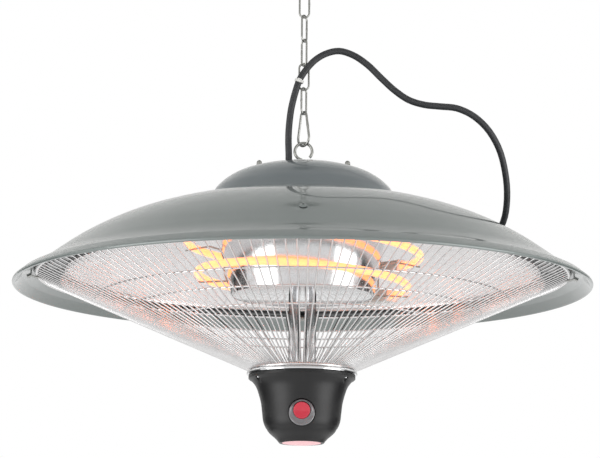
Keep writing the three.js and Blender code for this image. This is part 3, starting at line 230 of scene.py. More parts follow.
def mottled(tree, place, patch, detail, dark, pale):
    """A colour that wanders between two tones by a noise whose scale is one over the patches' real size.
    Gives the colour and the noise."""
    noise = add_node(tree, "ShaderNodeTexNoise", {"Vector": place, "Scale": 1 / patch, "Detail": detail})
    colour = add_node(tree, "ShaderNodeMix", {
        0: noise.outputs[0], 6: hex_colour(dark), 7: hex_colour(pale),
    }, data_type="RGBA")
    return colour.outputs[2], noise.outputs[0]


# Vulcanised rubber, extruded with a smooth skin: nearly black, with a dull wide sheen and dusty
# patches. Its grain is drawn coarser than the real one, so that it shows.
dust_patch = 12 * mm
rubber_grain = 1.1 * mm
rubber_relief = 0.1 * mm
rubber, tree, place = new_material("vulcanised_rubber")
tone, _ = mottled(tree, place, dust_patch, 4, "262729", "3c3d40")
grain = add_node(tree, "ShaderNodeTexNoise", {"Vector": place, "Scale": 1 / rubber_grain, "Detail": 2})
relief = add_node(tree, "ShaderNodeBump", {
    "Height": grain.outputs[0], "Strength": 0.25, "Distance": rubber_relief,
})
skin = add_node(tree, "ShaderNodeBsdfPrincipled", {
    "Base Color": tone, "Roughness": 0.48, "IOR": 1.52, "Normal": relief.outputs[0],
})
add_node(tree, "ShaderNodeOutputMaterial", {"Surface": skin.outputs[0]})


def place_piece(name, mesh, material, slot, body, *nodes):
    """Makes an object of a mesh with its finish. It rides on its body, in place of its nodes."""
    mesh.materials.clear()
    mesh.materials.append(material)
    piece = new_object(name, mesh)
    if body:
        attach(piece, body)
    if nodes:
        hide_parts(*nodes)
    return piece


smooth_angle = math.radians(35)


def tidy_mesh(mesh, sharp=smooth_angle):
    """Merges a mesh's doubles, points its faces out, and shades it smooth up to an angle."""
    weld_reach = 1e-6
    work = bmesh.new()
    work.from_mesh(mesh)
    bmesh.ops.remove_doubles(work, verts=work.verts, dist=weld_reach)
    bmesh.ops.dissolve_degenerate(work, edges=work.edges, dist=weld_reach)
    bmesh.ops.recalc_face_normals(work, faces=work.faces)
    work.to_mesh(mesh)
    work.free()
    mesh.shade_smooth()
    mesh.set_sharp_from_angle(angle=sharp)
    return mesh


def applied(holder, *others):
    """The mesh that an object and its modifiers give. The object goes, and the others with it."""
    ready = holder.evaluated_get(bpy.context.evaluated_depsgraph_get())
    mesh = bpy.data.meshes.new_from_object(ready)
    for used in (holder, *others):
        bpy.data.objects.remove(used)
    return mesh


def along_curve(name, path, radius, sides):
    """A round section carried along a free path without twist, with closed ends. The bevel's resolution
    is half the number of its sides, less two."""
    curve = bpy.data.curves.new(name, "CURVE")
    curve.dimensions = "3D"
    curve.bevel_depth = radius * mm
    curve.bevel_resolution = sides // 2 - 2
    curve.use_fill_caps = True
    spline = curve.splines.new("POLY")
    spline.points.add(len(path) - 1)
    spline.points.foreach_set("co", np.hstack([to_frame(path), np.ones((len(path), 1))]).ravel())
    spline.use_smooth = True
    return tidy_mesh(applied(new_object(name, curve)))


# The cord rides on no body, and its mesh is baked into the frame where it lies at rest
power_cord = place_piece(
    "power_cord", along_curve("power_cord", cord_path, cord_radius, cord_sides), rubber, "black_rubber",
    None, "supply_cord", "cord_coil", "plug_lead",
)
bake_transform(power_cord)


# Plug: a round two-pin plug moulded on the end of the cord, with a ribbed neck and three finger
# grooves. Its body is rubber, and its pins are turned from metal rod and plated.
wire_sides = 16
turned_steps = 48
plug_length = 44
plug_radius = 18
plug_neck = 5.2
plug_neck_length = 15
plug_ribs = 5
plug_rib_depth = 0.9
plug_grooves = 3
plug_groove_depth = 0.8
plug_groove_pitch = 4
plug_groove_shares = np.array([-0.3, 0, 0.3])
plug_shoulder_shares = np.array([(0.62, 0.44), (1, 0.62)])
plug_rounding = 1.2
pin_radius = 2.4
pin_length = 19
pin_spacing = 19


def surface(*grids, sharp=smooth_angle):
    """One mesh of grids of points, each with its rows and columns open or closed. Each face joins four
    neighbours, and the points that fall together, as at a pole, are merged."""
    points, faces, count = [], [], 0
    for grid, rows_closed, columns_closed in grids:
        rows, columns = grid.shape[:2]
        row = np.arange(rows if rows_closed else rows - 1)[:, None]
        column = np.arange(columns if columns_closed else columns - 1)[None, :]
        next_row, next_column = (row + 1) % rows, (column + 1) % columns
        corners = [row * columns + column, row * columns + next_column,
                   next_row * columns + next_column, next_row * columns + column]
        faces.append(np.stack(corners, axis=-1).reshape(-1, 4) + count)
        points.append(grid.reshape(-1, 3))
        count += rows * columns
    mesh = bpy.data.meshes.new("surface")
    mesh.from_pydata(to_frame(np.vstack(points)).tolist(), [], np.vstack(faces).tolist())
    return tidy_mesh(mesh, sharp)


def eased(profile, reach):
    """A profile with its corners rounded: each corner becomes a point before it, one drawn towards it
    and one after it, no further off than a share of the side. The two ends stay."""
    side_share = 0.4
    line = np.asarray(profile, float)
    corner, back, on = line[1:-1], line[:-2] - line[1:-1], line[2:] - line[1:-1]
    back_length = np.linalg.norm(back, axis=1, keepdims=True)
    on_length = np.linalg.norm(on, axis=1, keepdims=True)
    first = corner + back / back_length * np.minimum(reach, side_share * back_length)
    last = corner + on / on_length * np.minimum(reach, side_share * on_length)
    rounded = np.stack([first, (first + 2 * corner + last) / 4, last], axis=1)
    return np.vstack([line[:1], rounded.reshape(-1, 2), line[-1:]])


def spun(profile, steps=turned_steps, closed=False, centre=(0, 0)):
    """A profile of radius and height turned about an upright axis: x and y are the centre's, plus the
    radius times the cosine and the sine of the turn."""
    profile = np.asarray(profile, float)
    angles = np.arange(steps) * full_turn / steps
    radii, heights = profile[:, :1], profile[:, 1:]
    x = centre[0] + radii * np.cos(angles)
    y = centre[1] + radii * np.sin(angles)
    return np.stack([x, y, heights + 0 * angles], axis=-1), closed, True


def bar(radius, low, high):
    """The profile of a solid round bar between two heights."""
    return [(0, low), (radius, low), (radius, high), (0, high)]


def carried_by(axes, origin, grid):
    """A grid drawn in a piece's own frame, carried to the origin along the frame's three axes."""
    return grid[0] @ np.asarray(axes) + origin, grid[1], grid[2]


plug_level = np.array([-math.sin(plug_heading), math.cos(plug_heading), 0])
plug_up = np.cross(plug_way, plug_level)
plug_side = math.cos(plug_roll) * plug_level + math.sin(plug_roll) * plug_up
plug_axes = [-np.cross(plug_way, plug_side), plug_side, plug_way]
rib_heights = np.linspace(0, plug_neck_length, 2 * plug_ribs + 1)
rib_radii = plug_neck - plug_rib_depth * (np.arange(2 * plug_ribs + 1) % 2)
groove_heights = plug_length - plug_groove_pitch * np.arange(plug_grooves, 0, -1)
groove_profile = np.stack([
    np.tile([plug_radius, plug_radius - plug_groove_depth, plug_radius], plug_grooves),
    (groove_heights[:, None] + plug_groove_shares * plug_groove_pitch).ravel(),
], axis=1)
plug_outline = eased(np.vstack([
    [(0, 0)], np.stack([rib_radii, rib_heights], axis=1), plug_shoulder_shares * (plug_radius, plug_length),
    groove_profile, [(plug_radius, plug_length), (0, plug_length)],
]), plug_rounding)
pin_outline = eased(bar(pin_radius, plug_length - pin_radius, plug_length + pin_length), plug_rounding)
plug_body = place_piece(
    "plug_body", surface(carried_by(plug_axes, plug_mouth, spun(plug_outline))),
    rubber, "black_rubber", "heater", "plug",
)


# Bright zinc plate on steel wire and strip: pale and cool, with cloudy patches where the plate is
# duller, so that a highlight breaks up along it
zinc_patch = 4 * mm
zinc_plate, tree, place = new_material("bright_zinc_plate")
tone, patches = mottled(tree, place, zinc_patch, 3, "8f8f8b", "b5b5b1")
dulling = add_node(tree, "ShaderNodeMapRange", {"Value": patches, "To Min": 0.16, "To Max": 0.36})
skin = add_node(tree, "ShaderNodeBsdfPrincipled", {
    "Base Color": tone, "Metallic": 1, "Roughness": dulling.outputs[0],
})
add_node(tree, "ShaderNodeOutputMaterial", {"Surface": skin.outputs[0]})

pin_grids = [
    carried_by(plug_axes, plug_mouth, spun(pin_outline, wire_sides, centre=(0, across)))
    for across in (-pin_spacing / 2, pin_spacing / 2)
]
plug_pins = place_piece("plug_pins", surface(*pin_grids), zinc_plate, "plated_steel", "heater")


# Grommet: a rubber bush pushed into the cap, whose ribbed neck tapers to the cord over 20 mm inside
# it and keeps the cord from a sharp bend at the hole.
grommet_radius = 7
grommet_rise = 1.8
grommet_neck = 4.6
grommet_tail = 20
grommet_ribs = 6
grommet_rib_depth = 0.35
grommet_head_shares = np.array([(0.72, 1), (1, 0.4), (1, 0)])
grommet_seat = grommet_top - grommet_rise
rib_share = np.linspace(0, 1, 2 * grommet_ribs + 1)
neck_radii = grommet_neck + (cord_radius + clearance - grommet_neck) * rib_share
neck_radii = neck_radii - grommet_rib_depth * (np.arange(2 * grommet_ribs + 1) % 2) * (1 - rib_share)
grommet_profile = np.vstack([
    [(cord_radius, grommet_seat - grommet_tail), (cord_radius, grommet_top)],
    grommet_head_shares * (grommet_radius, grommet_rise) + (0, grommet_seat),
    np.stack([neck_radii, grommet_seat - grommet_tail * rib_share], axis=1),
])
strain_relief = place_piece(
    "strain_relief", surface(spun(grommet_profile, closed=True, centre=(cord_exit_x, 0))),
    rubber, "black_rubber", "heater", "cord_grommet",
)


# Cable ties: straps of white nylon, pulled tight through a square head. One holds the cord to the
# second link, and a wider loop of the same strap holds the coil together.

# Moulded nylon: a milky white that light enters a little way, with faint cloudy patches
nylon_cloud = 6 * mm
nylon, tree, place = new_material("white_nylon")
tone, _ = mottled(tree, place, nylon_cloud, 2, "e6e5e0", "f6f5f1")
skin = add_node(tree, "ShaderNodeBsdfPrincipled", {
    "Base Color": tone, "Roughness": 0.42, "IOR": 1.53,
    "Subsurface Weight": 0.15, "Subsurface Radius": (mm, mm, mm), "Subsurface Scale": 1,
})
add_node(tree, "ShaderNodeOutputMaterial", {"Surface": skin.outputs[0]})


def rounded_copy(node, width, sharp=smooth_angle):
    """A copy of a node's own shape with its doubles merged and its edges rounded to a width."""
    holder = new_object(node + "_edges", tidy_mesh(bpy.data.objects[node].data.copy(), sharp))
    rounding = holder.modifiers.new("edges", "BEVEL")
    rounding.width = width * mm
    rounding.segments = 2
    rounding.limit_method = "ANGLE"
    rounding.angle_limit = sharp
    return tidy_mesh(applied(holder), sharp)


tie_rounding = 0.2
tie_smooth = math.radians(50)
chain_tie, coil_strap = (
    place_piece(name, rounded_copy(node, tie_rounding, tie_smooth), nylon, "white_nylon", body, node)
    for name, body, node in (
        ("cable_tie", "lower_chain", "cord_tie"), ("coil_strap", "heater", "coil_tie"),
    )
)


# Chain: five long links and a pear link of the plated wire, each bent to shape and butt welded in the
# middle of one side, where the weld stands a little proud.
link_wire = 1
link_bend = 5
link_length = 28.3
link_turns = [240, 180, 120, 60, 0]
link_bodies = ["lower_chain", "lower_chain", "link_3", "link_4", "link_5"]
bend_steps = 16
side_steps = 16
weld_swell = 0.18
weld_length = 3
pear_wire = 1.25
pear_length = 36.4
pear_top_radius = 4.4
pear_bottom_radius = 8.7
pear_turn = math.radians(310)


def round_section(radius, sides=wire_sides):
    """A circle's offsets: the radius times the cosine and the sine of each turn."""
    angles = np.arange(sides) * full_turn / sides
    return radius * np.stack([np.cos(angles), np.sin(angles)], axis=1)


def carried(path, side, section, closed=False, swell=1):
    """A section carried along a bend that lies square to a side: each point is the path's, plus the
    section's first offset along the side and its second along the bend's own normal. The swell is the
    section's scale along the path."""
    path = np.asarray(path, float)
    ahead = np.roll(path, -1, axis=0) if closed else np.vstack([path[1:], 2 * path[-1] - path[-2]])
    behind = np.roll(path, 1, axis=0) if closed else np.vstack([2 * path[0] - path[1], path[:-1]])
    side = np.broadcast_to(unit(side), path.shape)
    normal = unit(np.cross(unit(ahead - behind), side))
    scale = np.broadcast_to(swell, len(path))[:, None, None]
    across = section[None, :, :1] * side[:, None] + section[None, :, 1:] * normal[:, None]
    grid = path[:, None] + scale * across
    if not closed:
        grid = np.concatenate([0 * grid[:1] + path[0], grid, 0 * grid[-1:] + path[-1]])
    return grid, closed, True


def arc(radius, start, end, steps, height=0):
    """Points of an arc in the XZ plane about a height, from one angle to another."""
    angles = np.linspace(start, end, steps + 1)
    return np.stack([radius * np.cos(angles), 0 * angles, height + radius * np.sin(angles)], axis=1)


def about_z(points, turn):
    """Points turned about the Z axis."""
    cosine, sine = math.cos(turn), math.sin(turn)
    return np.asarray(points) @ np.array([(cosine, sine, 0), (-sine, cosine, 0), (0, 0, 1)])


def link_path(top_radius, bottom_radius, low, high):
    """A link's line: an arc over the top, a straight side, an arc under the foot, and a side."""
    flare = math.asin((bottom_radius - top_radius) / (high - low))
    over = arc(top_radius, flare, math.pi - flare, bend_steps, high)
    under = arc(bottom_radius, math.pi - flare, full_turn + flare, bend_steps, low)
    share = np.linspace(0, 1, side_steps + 1)[1:-1, None]
    left = over[-1] + (under[0] - over[-1]) * share
    right = under[-1] + (over[0] - under[-1]) * share
    return np.vstack([over, left, under, right])


def linked(path, wire, turn):
    """The grid of a link: its wire swells at the weld, half way along its last side, by a bell curve of
    the distance from there in halves of the weld's length."""
    weld = path[-side_steps // 2]
    away = 2 * np.linalg.norm(path - weld, axis=1) / weld_length
    swell = 1 + weld_swell * np.exp(-away**2)
    return carried(about_z(path, turn), about_z((0, 1, 0), turn), round_section(wire), True, swell)


def foot_of(node):
    """A node's lowest height at rest, in millimetres over the rim plane."""
    return (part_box(node)[0].z - rim_level) / mm


for number, (turn, body) in enumerate(zip(link_turns, link_bodies), start=1):
    node = f"chain_link_{number}"
    foot = foot_of(node) + link_wire
    loop = link_path(link_bend, link_bend, foot + link_bend, foot + link_length - link_bend)
    place_piece(
        f"long_link_{number}", surface(linked(loop, link_wire, math.radians(turn))),
        zinc_plate, "plated_steel", body, node,
    )
pear_foot = foot_of("pear_link") + pear_wire
pear_head = pear_foot + pear_length
pear_loop = link_path(
    pear_top_radius, pear_bottom_radius, pear_foot + pear_bottom_radius, pear_head - pear_top_radius,
)
place_piece(
    "pear_shackle", surface(linked(pear_loop, pear_wire, pear_turn)), zinc_plate, "plated_steel",
    "lower_chain", "pear_link",
)


# Ceiling plate: a stamped round plate with a bent wire hook welded under its middle and two
# countersunk screws. All of it is zinc-plated steel.
hook_wire = 2.5
hook_radius = 8
hook_shank = 9
hook_steps = 40
hook_line_steps = 2
hook_start = math.radians(62)
hook_end = math.radians(-202.5)
hook_turn = math.radians(-60)
hook_tip_steps = np.array([0.5, 0.8])
hook_tip_sizes = (0.8, 0.4)
hook_weld = 1.6
hook_weld_shares = np.array([(0, -1), (0.3, -0.4), (1, 0), (1, 1)])
plate_radius = 27
plate_thickness = 3
plate_rounding = 0.8
plate_foot = foot_of("ceiling_plate") + hook_wire + 2 * hook_radius + hook_shank
hook_centre = plate_foot - hook_shank - hook_radius
hook_knots = np.vstack([
    [(0, 0, plate_foot + plate_thickness / 2), (0, 0, plate_foot - hook_shank / 2)],
    arc(hook_radius, hook_start, hook_end, hook_steps, hook_centre),
])
hook_line = smooth_line(hook_knots, hook_line_steps)

# The wire's free end is rounded off over two more points, each thinner than the one before
hook_tip = hook_line[-1] + (hook_line[-1] - hook_line[-2]) * hook_tip_steps[:, None]
hook_swell = np.concatenate([np.ones(len(hook_line)), hook_tip_sizes])
hook_line = np.vstack([hook_line, hook_tip])
plate_profile = eased(bar(plate_radius, plate_foot, plate_foot + plate_thickness), plate_rounding)
weld_profile = np.vstack([
    [(0, plate_foot - hook_weld)], hook_weld_shares * hook_weld + (hook_wire, plate_foot),
    [(0, plate_foot + hook_weld)],
])
hook_grid = carried(
    about_z(hook_line, hook_turn), about_z((0, 1, 0), hook_turn), round_section(hook_wire), swell=hook_swell,
)
place_piece(
    "ceiling_hook", surface(spun(plate_profile), spun(weld_profile), hook_grid), zinc_plate, "plated_steel",
    "ceiling", "ceiling_plate",
)
screw_rounding = 0.15
for side in ("left", "right"):
    place_piece(
        f"countersunk_screw_{side}", rounded_copy(f"ceiling_screw_{side}", screw_rounding),
        zinc_plate, "plated_steel", "ceiling", f"ceiling_screw_{side}",
    )


# Eye bolt: a plated steel rod bent to an open eye above a turned shoulder, which presses the cap onto
# the shade. Its nut is under the drum's top.
eye_radius = 9
eye_wire = 1.5
eye_start = math.radians(-118)
eye_end = math.radians(-405)
eye_steps = 44
eye_line_steps = 3
eye_rise = 13.8
bolt_radius = 2.5
shoulder_radius = 5
shoulder_height = 2.2
shoulder_rounding = 0.5
eye_centre = (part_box("eye_bolt")[1].z - rim_level) / mm - eye_radius - eye_wire
bolt_foot = foot_of("eye_bolt")
shoulder_foot = eye_centre - eye_rise + clearance
eye_ring = arc(eye_radius, eye_start, eye_end, eye_steps, eye_centre)
eye_knots = np.vstack([
    [(0, 0, bolt_foot), (0, 0, shoulder_foot), (0, 0, shoulder_foot + shoulder_height)], eye_ring,
])
eye_line = smooth_line(eye_knots, eye_line_steps)

# The rod thins to the wire by its height, up to the ring's foot
thinning = [shoulder_foot, eye_centre - eye_radius + eye_wire]
eye_swell = np.interp(eye_line[:, 2], thinning, [bolt_radius / eye_wire, 1])
eye_grid = carried(eye_line, (0, 1, 0), round_section(eye_wire), swell=eye_swell)
shoulder = bar(shoulder_radius, shoulder_foot, shoulder_foot + shoulder_height)
place_piece(
    "hanging_eye", surface(eye_grid, spun(eased(shoulder, shoulder_rounding))), zinc_plate, "plated_steel",
    "heater", "eye_bolt",
)


# Shade: a dome of aluminium sheet, spun in one piece, with its rim rolled outwards into a bead. It is
# sprayed with a grey lacquer with a little metal flake in it. Inside, above the rim, its colour is a
# dark grey of painted shade, for the shadow in the narrow gap behind the reflector's lip.
spun_steps = 192
shade_radius = 300
crown_height = 96
shade_wall = 1.2
shade_line_steps = 8
bead_steps = 10
bead_start = math.radians(62)
bead_end = math.radians(-135)
shade_shares = np.array([
    (0, 1), (0.167, 0.984), (0.317, 0.941), (0.417, 0.883), (0.517, 0.805), (0.617, 0.701),
    (0.717, 0.56), (0.8, 0.411), (0.86, 0.281), (0.9, 0.193), (0.937, 0.13), (0.97, 0.083),
])


def inset(line, wall):
    """A line moved to its inner side by a wall, square to the chord between its neighbours."""
    chord = np.gradient(line, axis=0)
    square = np.stack([chord[:, 1], -chord[:, 0]], axis=1)
    inner = line + wall * unit(square)
    inner[0, 0] = line[0, 0]
    return inner


shade_outer = smooth_line(shade_shares * (shade_radius, crown_height), shade_line_steps)
shade_inner = inset(shade_outer, shade_wall)
bead_arc = arc(bead_radius, bead_start, bead_end, bead_steps)[:, ::2] + (shade_radius - bead_radius, 0)
shade_profile = np.vstack([shade_outer, bead_arc, shade_inner[::-1]])

# Sprayed lacquer with metal flake, under a clear coat: an even grey with a sharp gloss, broken a little
# by the spray's dimples. The flake is drawn coarser than the real one, so that it shows.
flake = 0.9 * mm
dimple = 5 * mm
dimple_relief = 0.05 * mm
painted_shade_foot = 12.5 * mm
painted_shade_fade = 1 * mm


def orange_peel(tree, place):
    """The normal of a sprayed coat: a noise of shallow dimples at their real size."""
    dimples = add_node(tree, "ShaderNodeTexNoise", {"Vector": place, "Scale": 1 / dimple, "Detail": 1})
    relief = add_node(tree, "ShaderNodeBump", {
        "Height": dimples.outputs[0], "Strength": 0.2, "Distance": dimple_relief,
    })
    return relief.outputs[0]


shade_lacquer, tree, place = new_material("grey_flake_lacquer")
tone, _ = mottled(tree, place, flake, 1, "767e7c", "828a88")
# Painted shade: faces that look down, above this height, take a dark grey for the gap's shadow
painted_shade_level = rim_level + painted_shade_foot
parts = add_node(tree, "ShaderNodeSeparateXYZ", {"Vector": place})
above = add_node(tree, "ShaderNodeMapRange", {
    "Value": parts.outputs["Z"], "From Min": painted_shade_level, "From Max": painted_shade_level + painted_shade_fade,
})
outward_way = add_node(tree, "ShaderNodeTexCoord").outputs["Normal"]
facing = add_node(tree, "ShaderNodeSeparateXYZ", {"Vector": outward_way})
downward = add_node(tree, "ShaderNodeMath", {0: facing.outputs["Z"], 1: 0}, operation="LESS_THAN")
painted_shade_mask = add_node(tree, "ShaderNodeMath", {0: above.outputs[0], 1: downward.outputs[0]}, operation="MULTIPLY")
finish = add_node(tree, "ShaderNodeMix", {
    0: painted_shade_mask.outputs[0], 6: tone, 7: hex_colour("3a3c3d"),
}, data_type="RGBA")
skin = add_node(tree, "ShaderNodeBsdfPrincipled", {
    "Base Color": finish.outputs[2], "Metallic": 0.25, "Roughness": 0.38, "Normal": orange_peel(tree, place),
    "Coat Weight": 1, "Coat Roughness": 0.03,
})
add_node(tree, "ShaderNodeOutputMaterial", {"Surface": skin.outputs[0]})
place_piece(
    "shade_dome", surface(spun(shade_profile, spun_steps)), shade_lacquer, "shade_paint", "heater", "shade",
)


# Dome screws: three domed screws, painted with the shade, that come through it into the reflector's
# posts. The posts are turned steel spacers.
dome_screw_turns = [math.radians(-90), math.radians(30), math.radians(150)]
post_circle = 239
post_radius = 4
post_air = 17.5
screw_head_radius = 4
screw_head_height = 2.2
screw_shank_radius = 1.7
screw_reach = 5
driver_recess = 1.1
driver_depth = 0.7
screw_dome_shares = np.array([(0.6, 0.86), (0.85, 0.6), (1, 0.24), (1, 0)])
screw_steps = 32


def skin_height(line, radius):
    """The height of a profile at a radius, between its two nearest points."""
    return float(np.interp(radius, line[:, 0], line[:, 1]))


def leaned(angle):
    """The three axes of a piece that leans outwards from the Z axis by an angle."""
    cosine, sine = math.cos(angle), math.sin(angle)
    return np.array([(cosine, 0, -sine), (0, 1, 0), (sine, 0, cosine)])


dome_heights = [skin_height(shade_outer, post_circle + side) for side in (-post_radius, post_radius)]
dome_slope = math.atan2(dome_heights[0] - dome_heights[1], 2 * post_radius)
lean_axes = leaned(dome_slope)

# Steel that has been hot: a warm grey gone dull, in mottled patches
tempered_patch = 9 * mm
dark_steel, tree, place = new_material("heat_tinted_steel")
tone, _ = mottled(tree, place, tempered_patch, 3, "8a8580", "b4b0aa")
skin = add_node(tree, "ShaderNodeBsdfPrincipled", {"Base Color": tone, "Metallic": 1, "Roughness": 0.4})
add_node(tree, "ShaderNodeOutputMaterial", {"Surface": skin.outputs[0]})

recess_level = screw_head_height - driver_depth
screw_profile = np.vstack([
    [(0, recess_level), (driver_recess, recess_level), (driver_recess, screw_head_height)],
    screw_dome_shares * (screw_head_radius, screw_head_height),
    [(screw_shank_radius, 0), (screw_shank_radius, -shade_wall - screw_reach)],
    [(0, -shade_wall - screw_reach)],
])
post_top = -shade_wall - clearance
post_foot = post_top + clearance - (post_air - 2 * clearance) * math.cos(dome_slope)
post_profile = eased(bar(post_radius, post_foot, post_top), clearance)
for number, turn in enumerate(dome_screw_turns, start=1):
    seat_axes = about_z(lean_axes, turn)
    seat = about_z((post_circle, 0, skin_height(shade_outer, post_circle) + clearance), turn)
    place_piece(
        f"dome_screw_{number}", surface(carried_by(seat_axes, seat, spun(screw_profile, screw_steps))),
        shade_lacquer, "shade_paint", "heater", f"shade_screw_{number}",
    )
    place_piece(
        f"spacer_post_{number}", surface(carried_by(seat_axes, seat, spun(post_profile, screw_steps))),
        dark_steel, "dark_steel", "heater", f"reflector_post_{number}",
    )


# Crown cap: a second spun dome that covers the fixings, lacquered like the shade. Two studs come up
# through it, and domed hexagon nuts of zinc-plated steel hold it down.
cap_radius = 95
cap_rise = 39
cap_wall = 1
cap_line_steps = 8
stud_spacing = 92
nut_radius = 3
nut_height = 7.8
nut_flange = 0.6
nut_hex_share = 0.5
nut_sides = 6
nut_dome_shares = np.array([
    (0, 1), (0.35, 0.98), (0.65, 0.91), (0.86, 0.79), (0.95, 0.62), (0.9, 0.45), (0, 0.45),
])
stud_rounding = 0.3
cap_shares = np.array([
    (0, 1), (0.316, 0.969), (0.579, 0.846), (0.79, 0.641), (0.905, 0.436), (0.974, 0.244), (1, 0),
])
cap_foot = foot_of("crown_cap")
cap_outer = smooth_line(cap_shares * (cap_radius, cap_rise) + (0, cap_foot), cap_line_steps)
cap_inner = inset(cap_outer, cap_wall)
cap_inner[-1] = (cap_radius - cap_wall, cap_foot)
cap_profile = np.vstack([cap_outer, cap_inner[::-1]])

# Sprayed gloss lacquer without flake: darker and bluer than the shade's, in wide faint clouds, with the
# same dimples under its clear coat
lacquer_cloud = 30 * mm
cap_lacquer, tree, place = new_material("gloss_grey_lacquer")
tone, _ = mottled(tree, place, lacquer_cloud, 2, "6f777a", "788083")
skin = add_node(tree, "ShaderNodeBsdfPrincipled", {
    "Base Color": tone, "Metallic": 0.2, "Roughness": 0.3, "Normal": orange_peel(tree, place),
    "Coat Weight": 1, "Coat Roughness": 0.03,
})
add_node(tree, "ShaderNodeOutputMaterial", {"Surface": skin.outputs[0]})
place_piece(
    "cap_dome", surface(spun(cap_profile, spun_steps)), cap_lacquer, "cap_paint", "heater", "crown_cap",
)


def shifted(grid, offset):
    """A grid moved by an offset."""
    return grid[0] + offset, grid[1], grid[2]


nut_grids = [
    spun(nut_dome_shares * (nut_radius, nut_height), screw_steps),
    spun(eased(bar(nut_radius, nut_flange, nut_hex_share * nut_height), stud_rounding), nut_sides),
    spun(bar(nut_radius, 0, nut_flange), screw_steps),
]
for side, x in (("left", -stud_spacing / 2), ("right", stud_spacing / 2)):
    seat = (x, 0, foot_of(f"cap_nut_{side}"))
    place_piece(
        f"domed_nut_{side}", surface(*[shifted(grid, seat) for grid in nut_grids]), zinc_plate,
        "plated_steel", "heater", f"cap_nut_{side}",
    )
    place_piece(
        f"stud_{side}", rounded_copy(f"cap_stud_{side}", stud_rounding), dark_steel, "dark_steel", "heater",
        f"cap_stud_{side}",
    )
place_piece("hex_nut", rounded_copy("eye_nut", stud_rounding), dark_steel, "dark_steel", "heater", "eye_nut")


# Drum: a tapered body of spun aluminium, buffed to a mirror, that hangs round the bolt and the tubes.
# Its open mouth has a turned-in hem, and a flat plate inside it carries the tubes.
drum_top = 88.74
drum_depth = 98.7
drum_top_radius = 93.25
drum_taper = 0.195
drum_wall = 1
drum_hem = 1.8
drum_hem_height = 3
drum_rounding = 1.4
drum_foot = drum_top - drum_depth
drum_foot_radius = drum_top_radius - drum_taper * drum_depth
hem_radius = drum_foot_radius + drum_taper * drum_hem_height
hem_top = drum_foot + drum_hem_height + drum_hem
drum_inside = [
    (hem_radius - drum_wall, hem_top), (drum_top_radius - drum_wall, drum_top - drum_wall),
    (0, drum_top - drum_wall),
]
drum_profile = eased([
    (0, drum_top), (drum_top_radius, drum_top), (drum_foot_radius, drum_foot),
    (drum_foot_radius - drum_hem, drum_foot), (hem_radius - drum_hem, drum_foot + drum_hem_height),
    *drum_inside,
], drum_rounding)

# Buffed aluminium: a bright mirror, blurred a little along hair lines that run round the lathe. The
# lines are drawn coarser than the real ones, so that they show.
hair_line = 0.6 * mm
hair_stretch = 0.1
hair_relief = 0.05 * mm
bright_metal, tree, place = new_material("buffed_aluminium")
stretched = add_node(tree, "ShaderNodeMapping", {"Vector": place, "Scale": (hair_stretch, hair_stretch, 1)})
tone, hairs = mottled(tree, stretched.outputs[0], hair_line, 2, "d2d3d4", "e4e4e5")
relief = add_node(tree, "ShaderNodeBump", {
    "Height": hairs, "Strength": 0.15, "Distance": hair_relief,
})
skin = add_node(tree, "ShaderNodeBsdfPrincipled", {
    "Base Color": tone, "Metallic": 1, "Roughness": 0.13, "Normal": relief.outputs[0],
})
add_node(tree, "ShaderNodeOutputMaterial", {"Surface": skin.outputs[0]})
place_piece(
    "drum_body", surface(spun(drum_profile, spun_steps)), bright_metal, "polished_metal", "heater", "drum",
)

# Inside, the drum and its plate keep the mill's finish: pale and satin, with a faint bloom. The lining
# draws it on the drum's own inside.
bloom = 14 * mm
mill_finish, tree, place = new_material("mill_finished_aluminium")
tone, _ = mottled(tree, place, bloom, 3, "d4d7d9", "eceeef")
skin = add_node(tree, "ShaderNodeBsdfPrincipled", {"Base Color": tone, "Metallic": 0.3, "Roughness": 0.4})
add_node(tree, "ShaderNodeOutputMaterial", {"Surface": skin.outputs[0]})
lining = 0.2
lining_outline = np.array(drum_inside) + [(-lining, lining), (-lining, -lining), (0, -lining)]
lining_profile = np.vstack([lining_outline, drum_inside[::-1]])
place_piece(
    "drum_inside", surface(spun(lining_profile, spun_steps)), mill_finish, "polished_metal", "heater",
)
plate_softness = 0.3
place_piece(
    "tube_plate", rounded_copy("drum_plate", plate_softness), mill_finish, "polished_metal", "heater",
    "drum_plate",
)


# Reflector: a ring of bright rolled aluminium that follows the shade at an air gap and throws the
# lamps' heat down. It is spun, with its outer edge turned down as a lip.
reflector_radius = 246
reflector_wall = 0.8
reflector_lip = 4
reflector_hole = 90.6
reflector_steps = 24
reflector_bend = 1.5
reflector_line = np.linspace(reflector_hole, reflector_radius - reflector_bend, reflector_steps + 1)[:, None]
reflector_heights = np.interp(reflector_line, shade_inner[:, 0], shade_inner[:, 1]) - post_air
reflector_outer = np.hstack([reflector_line, reflector_heights])
lip_top = skin_height(shade_inner, reflector_radius) - post_air
lip_line = [(reflector_radius, lip_top - reflector_bend), (reflector_radius, lip_top - reflector_lip)]
reflector_sheet = np.vstack([reflector_outer, lip_line])
reflector_profile = np.vstack([reflector_sheet, inset(reflector_sheet, reflector_wall)[::-1]])

# Bright rolled aluminium: nearly white, a blurred mirror that long shallow ripples pull about
ripple = 45 * mm
ripple_relief = 1.2 * mm
rolled_sheet, tree, place = new_material("bright_rolled_aluminium")
tone, mill_lines = mottled(tree, place, ripple, 4, "e8e5e5", "f6f4f4")
relief = add_node(tree, "ShaderNodeBump", {
    "Height": mill_lines, "Strength": 0.3, "Distance": ripple_relief,
})
skin = add_node(tree, "ShaderNodeBsdfPrincipled", {
    "Base Color": tone, "Metallic": 1, "Roughness": 0.22, "Normal": relief.outputs[0],
})
add_node(tree, "ShaderNodeOutputMaterial", {"Surface": skin.outputs[0]})
place_piece(
    "reflector_ring", surface(spun(reflector_profile, spun_steps, closed=True)), rolled_sheet,
    "polished_metal", "heater", "reflector",
)


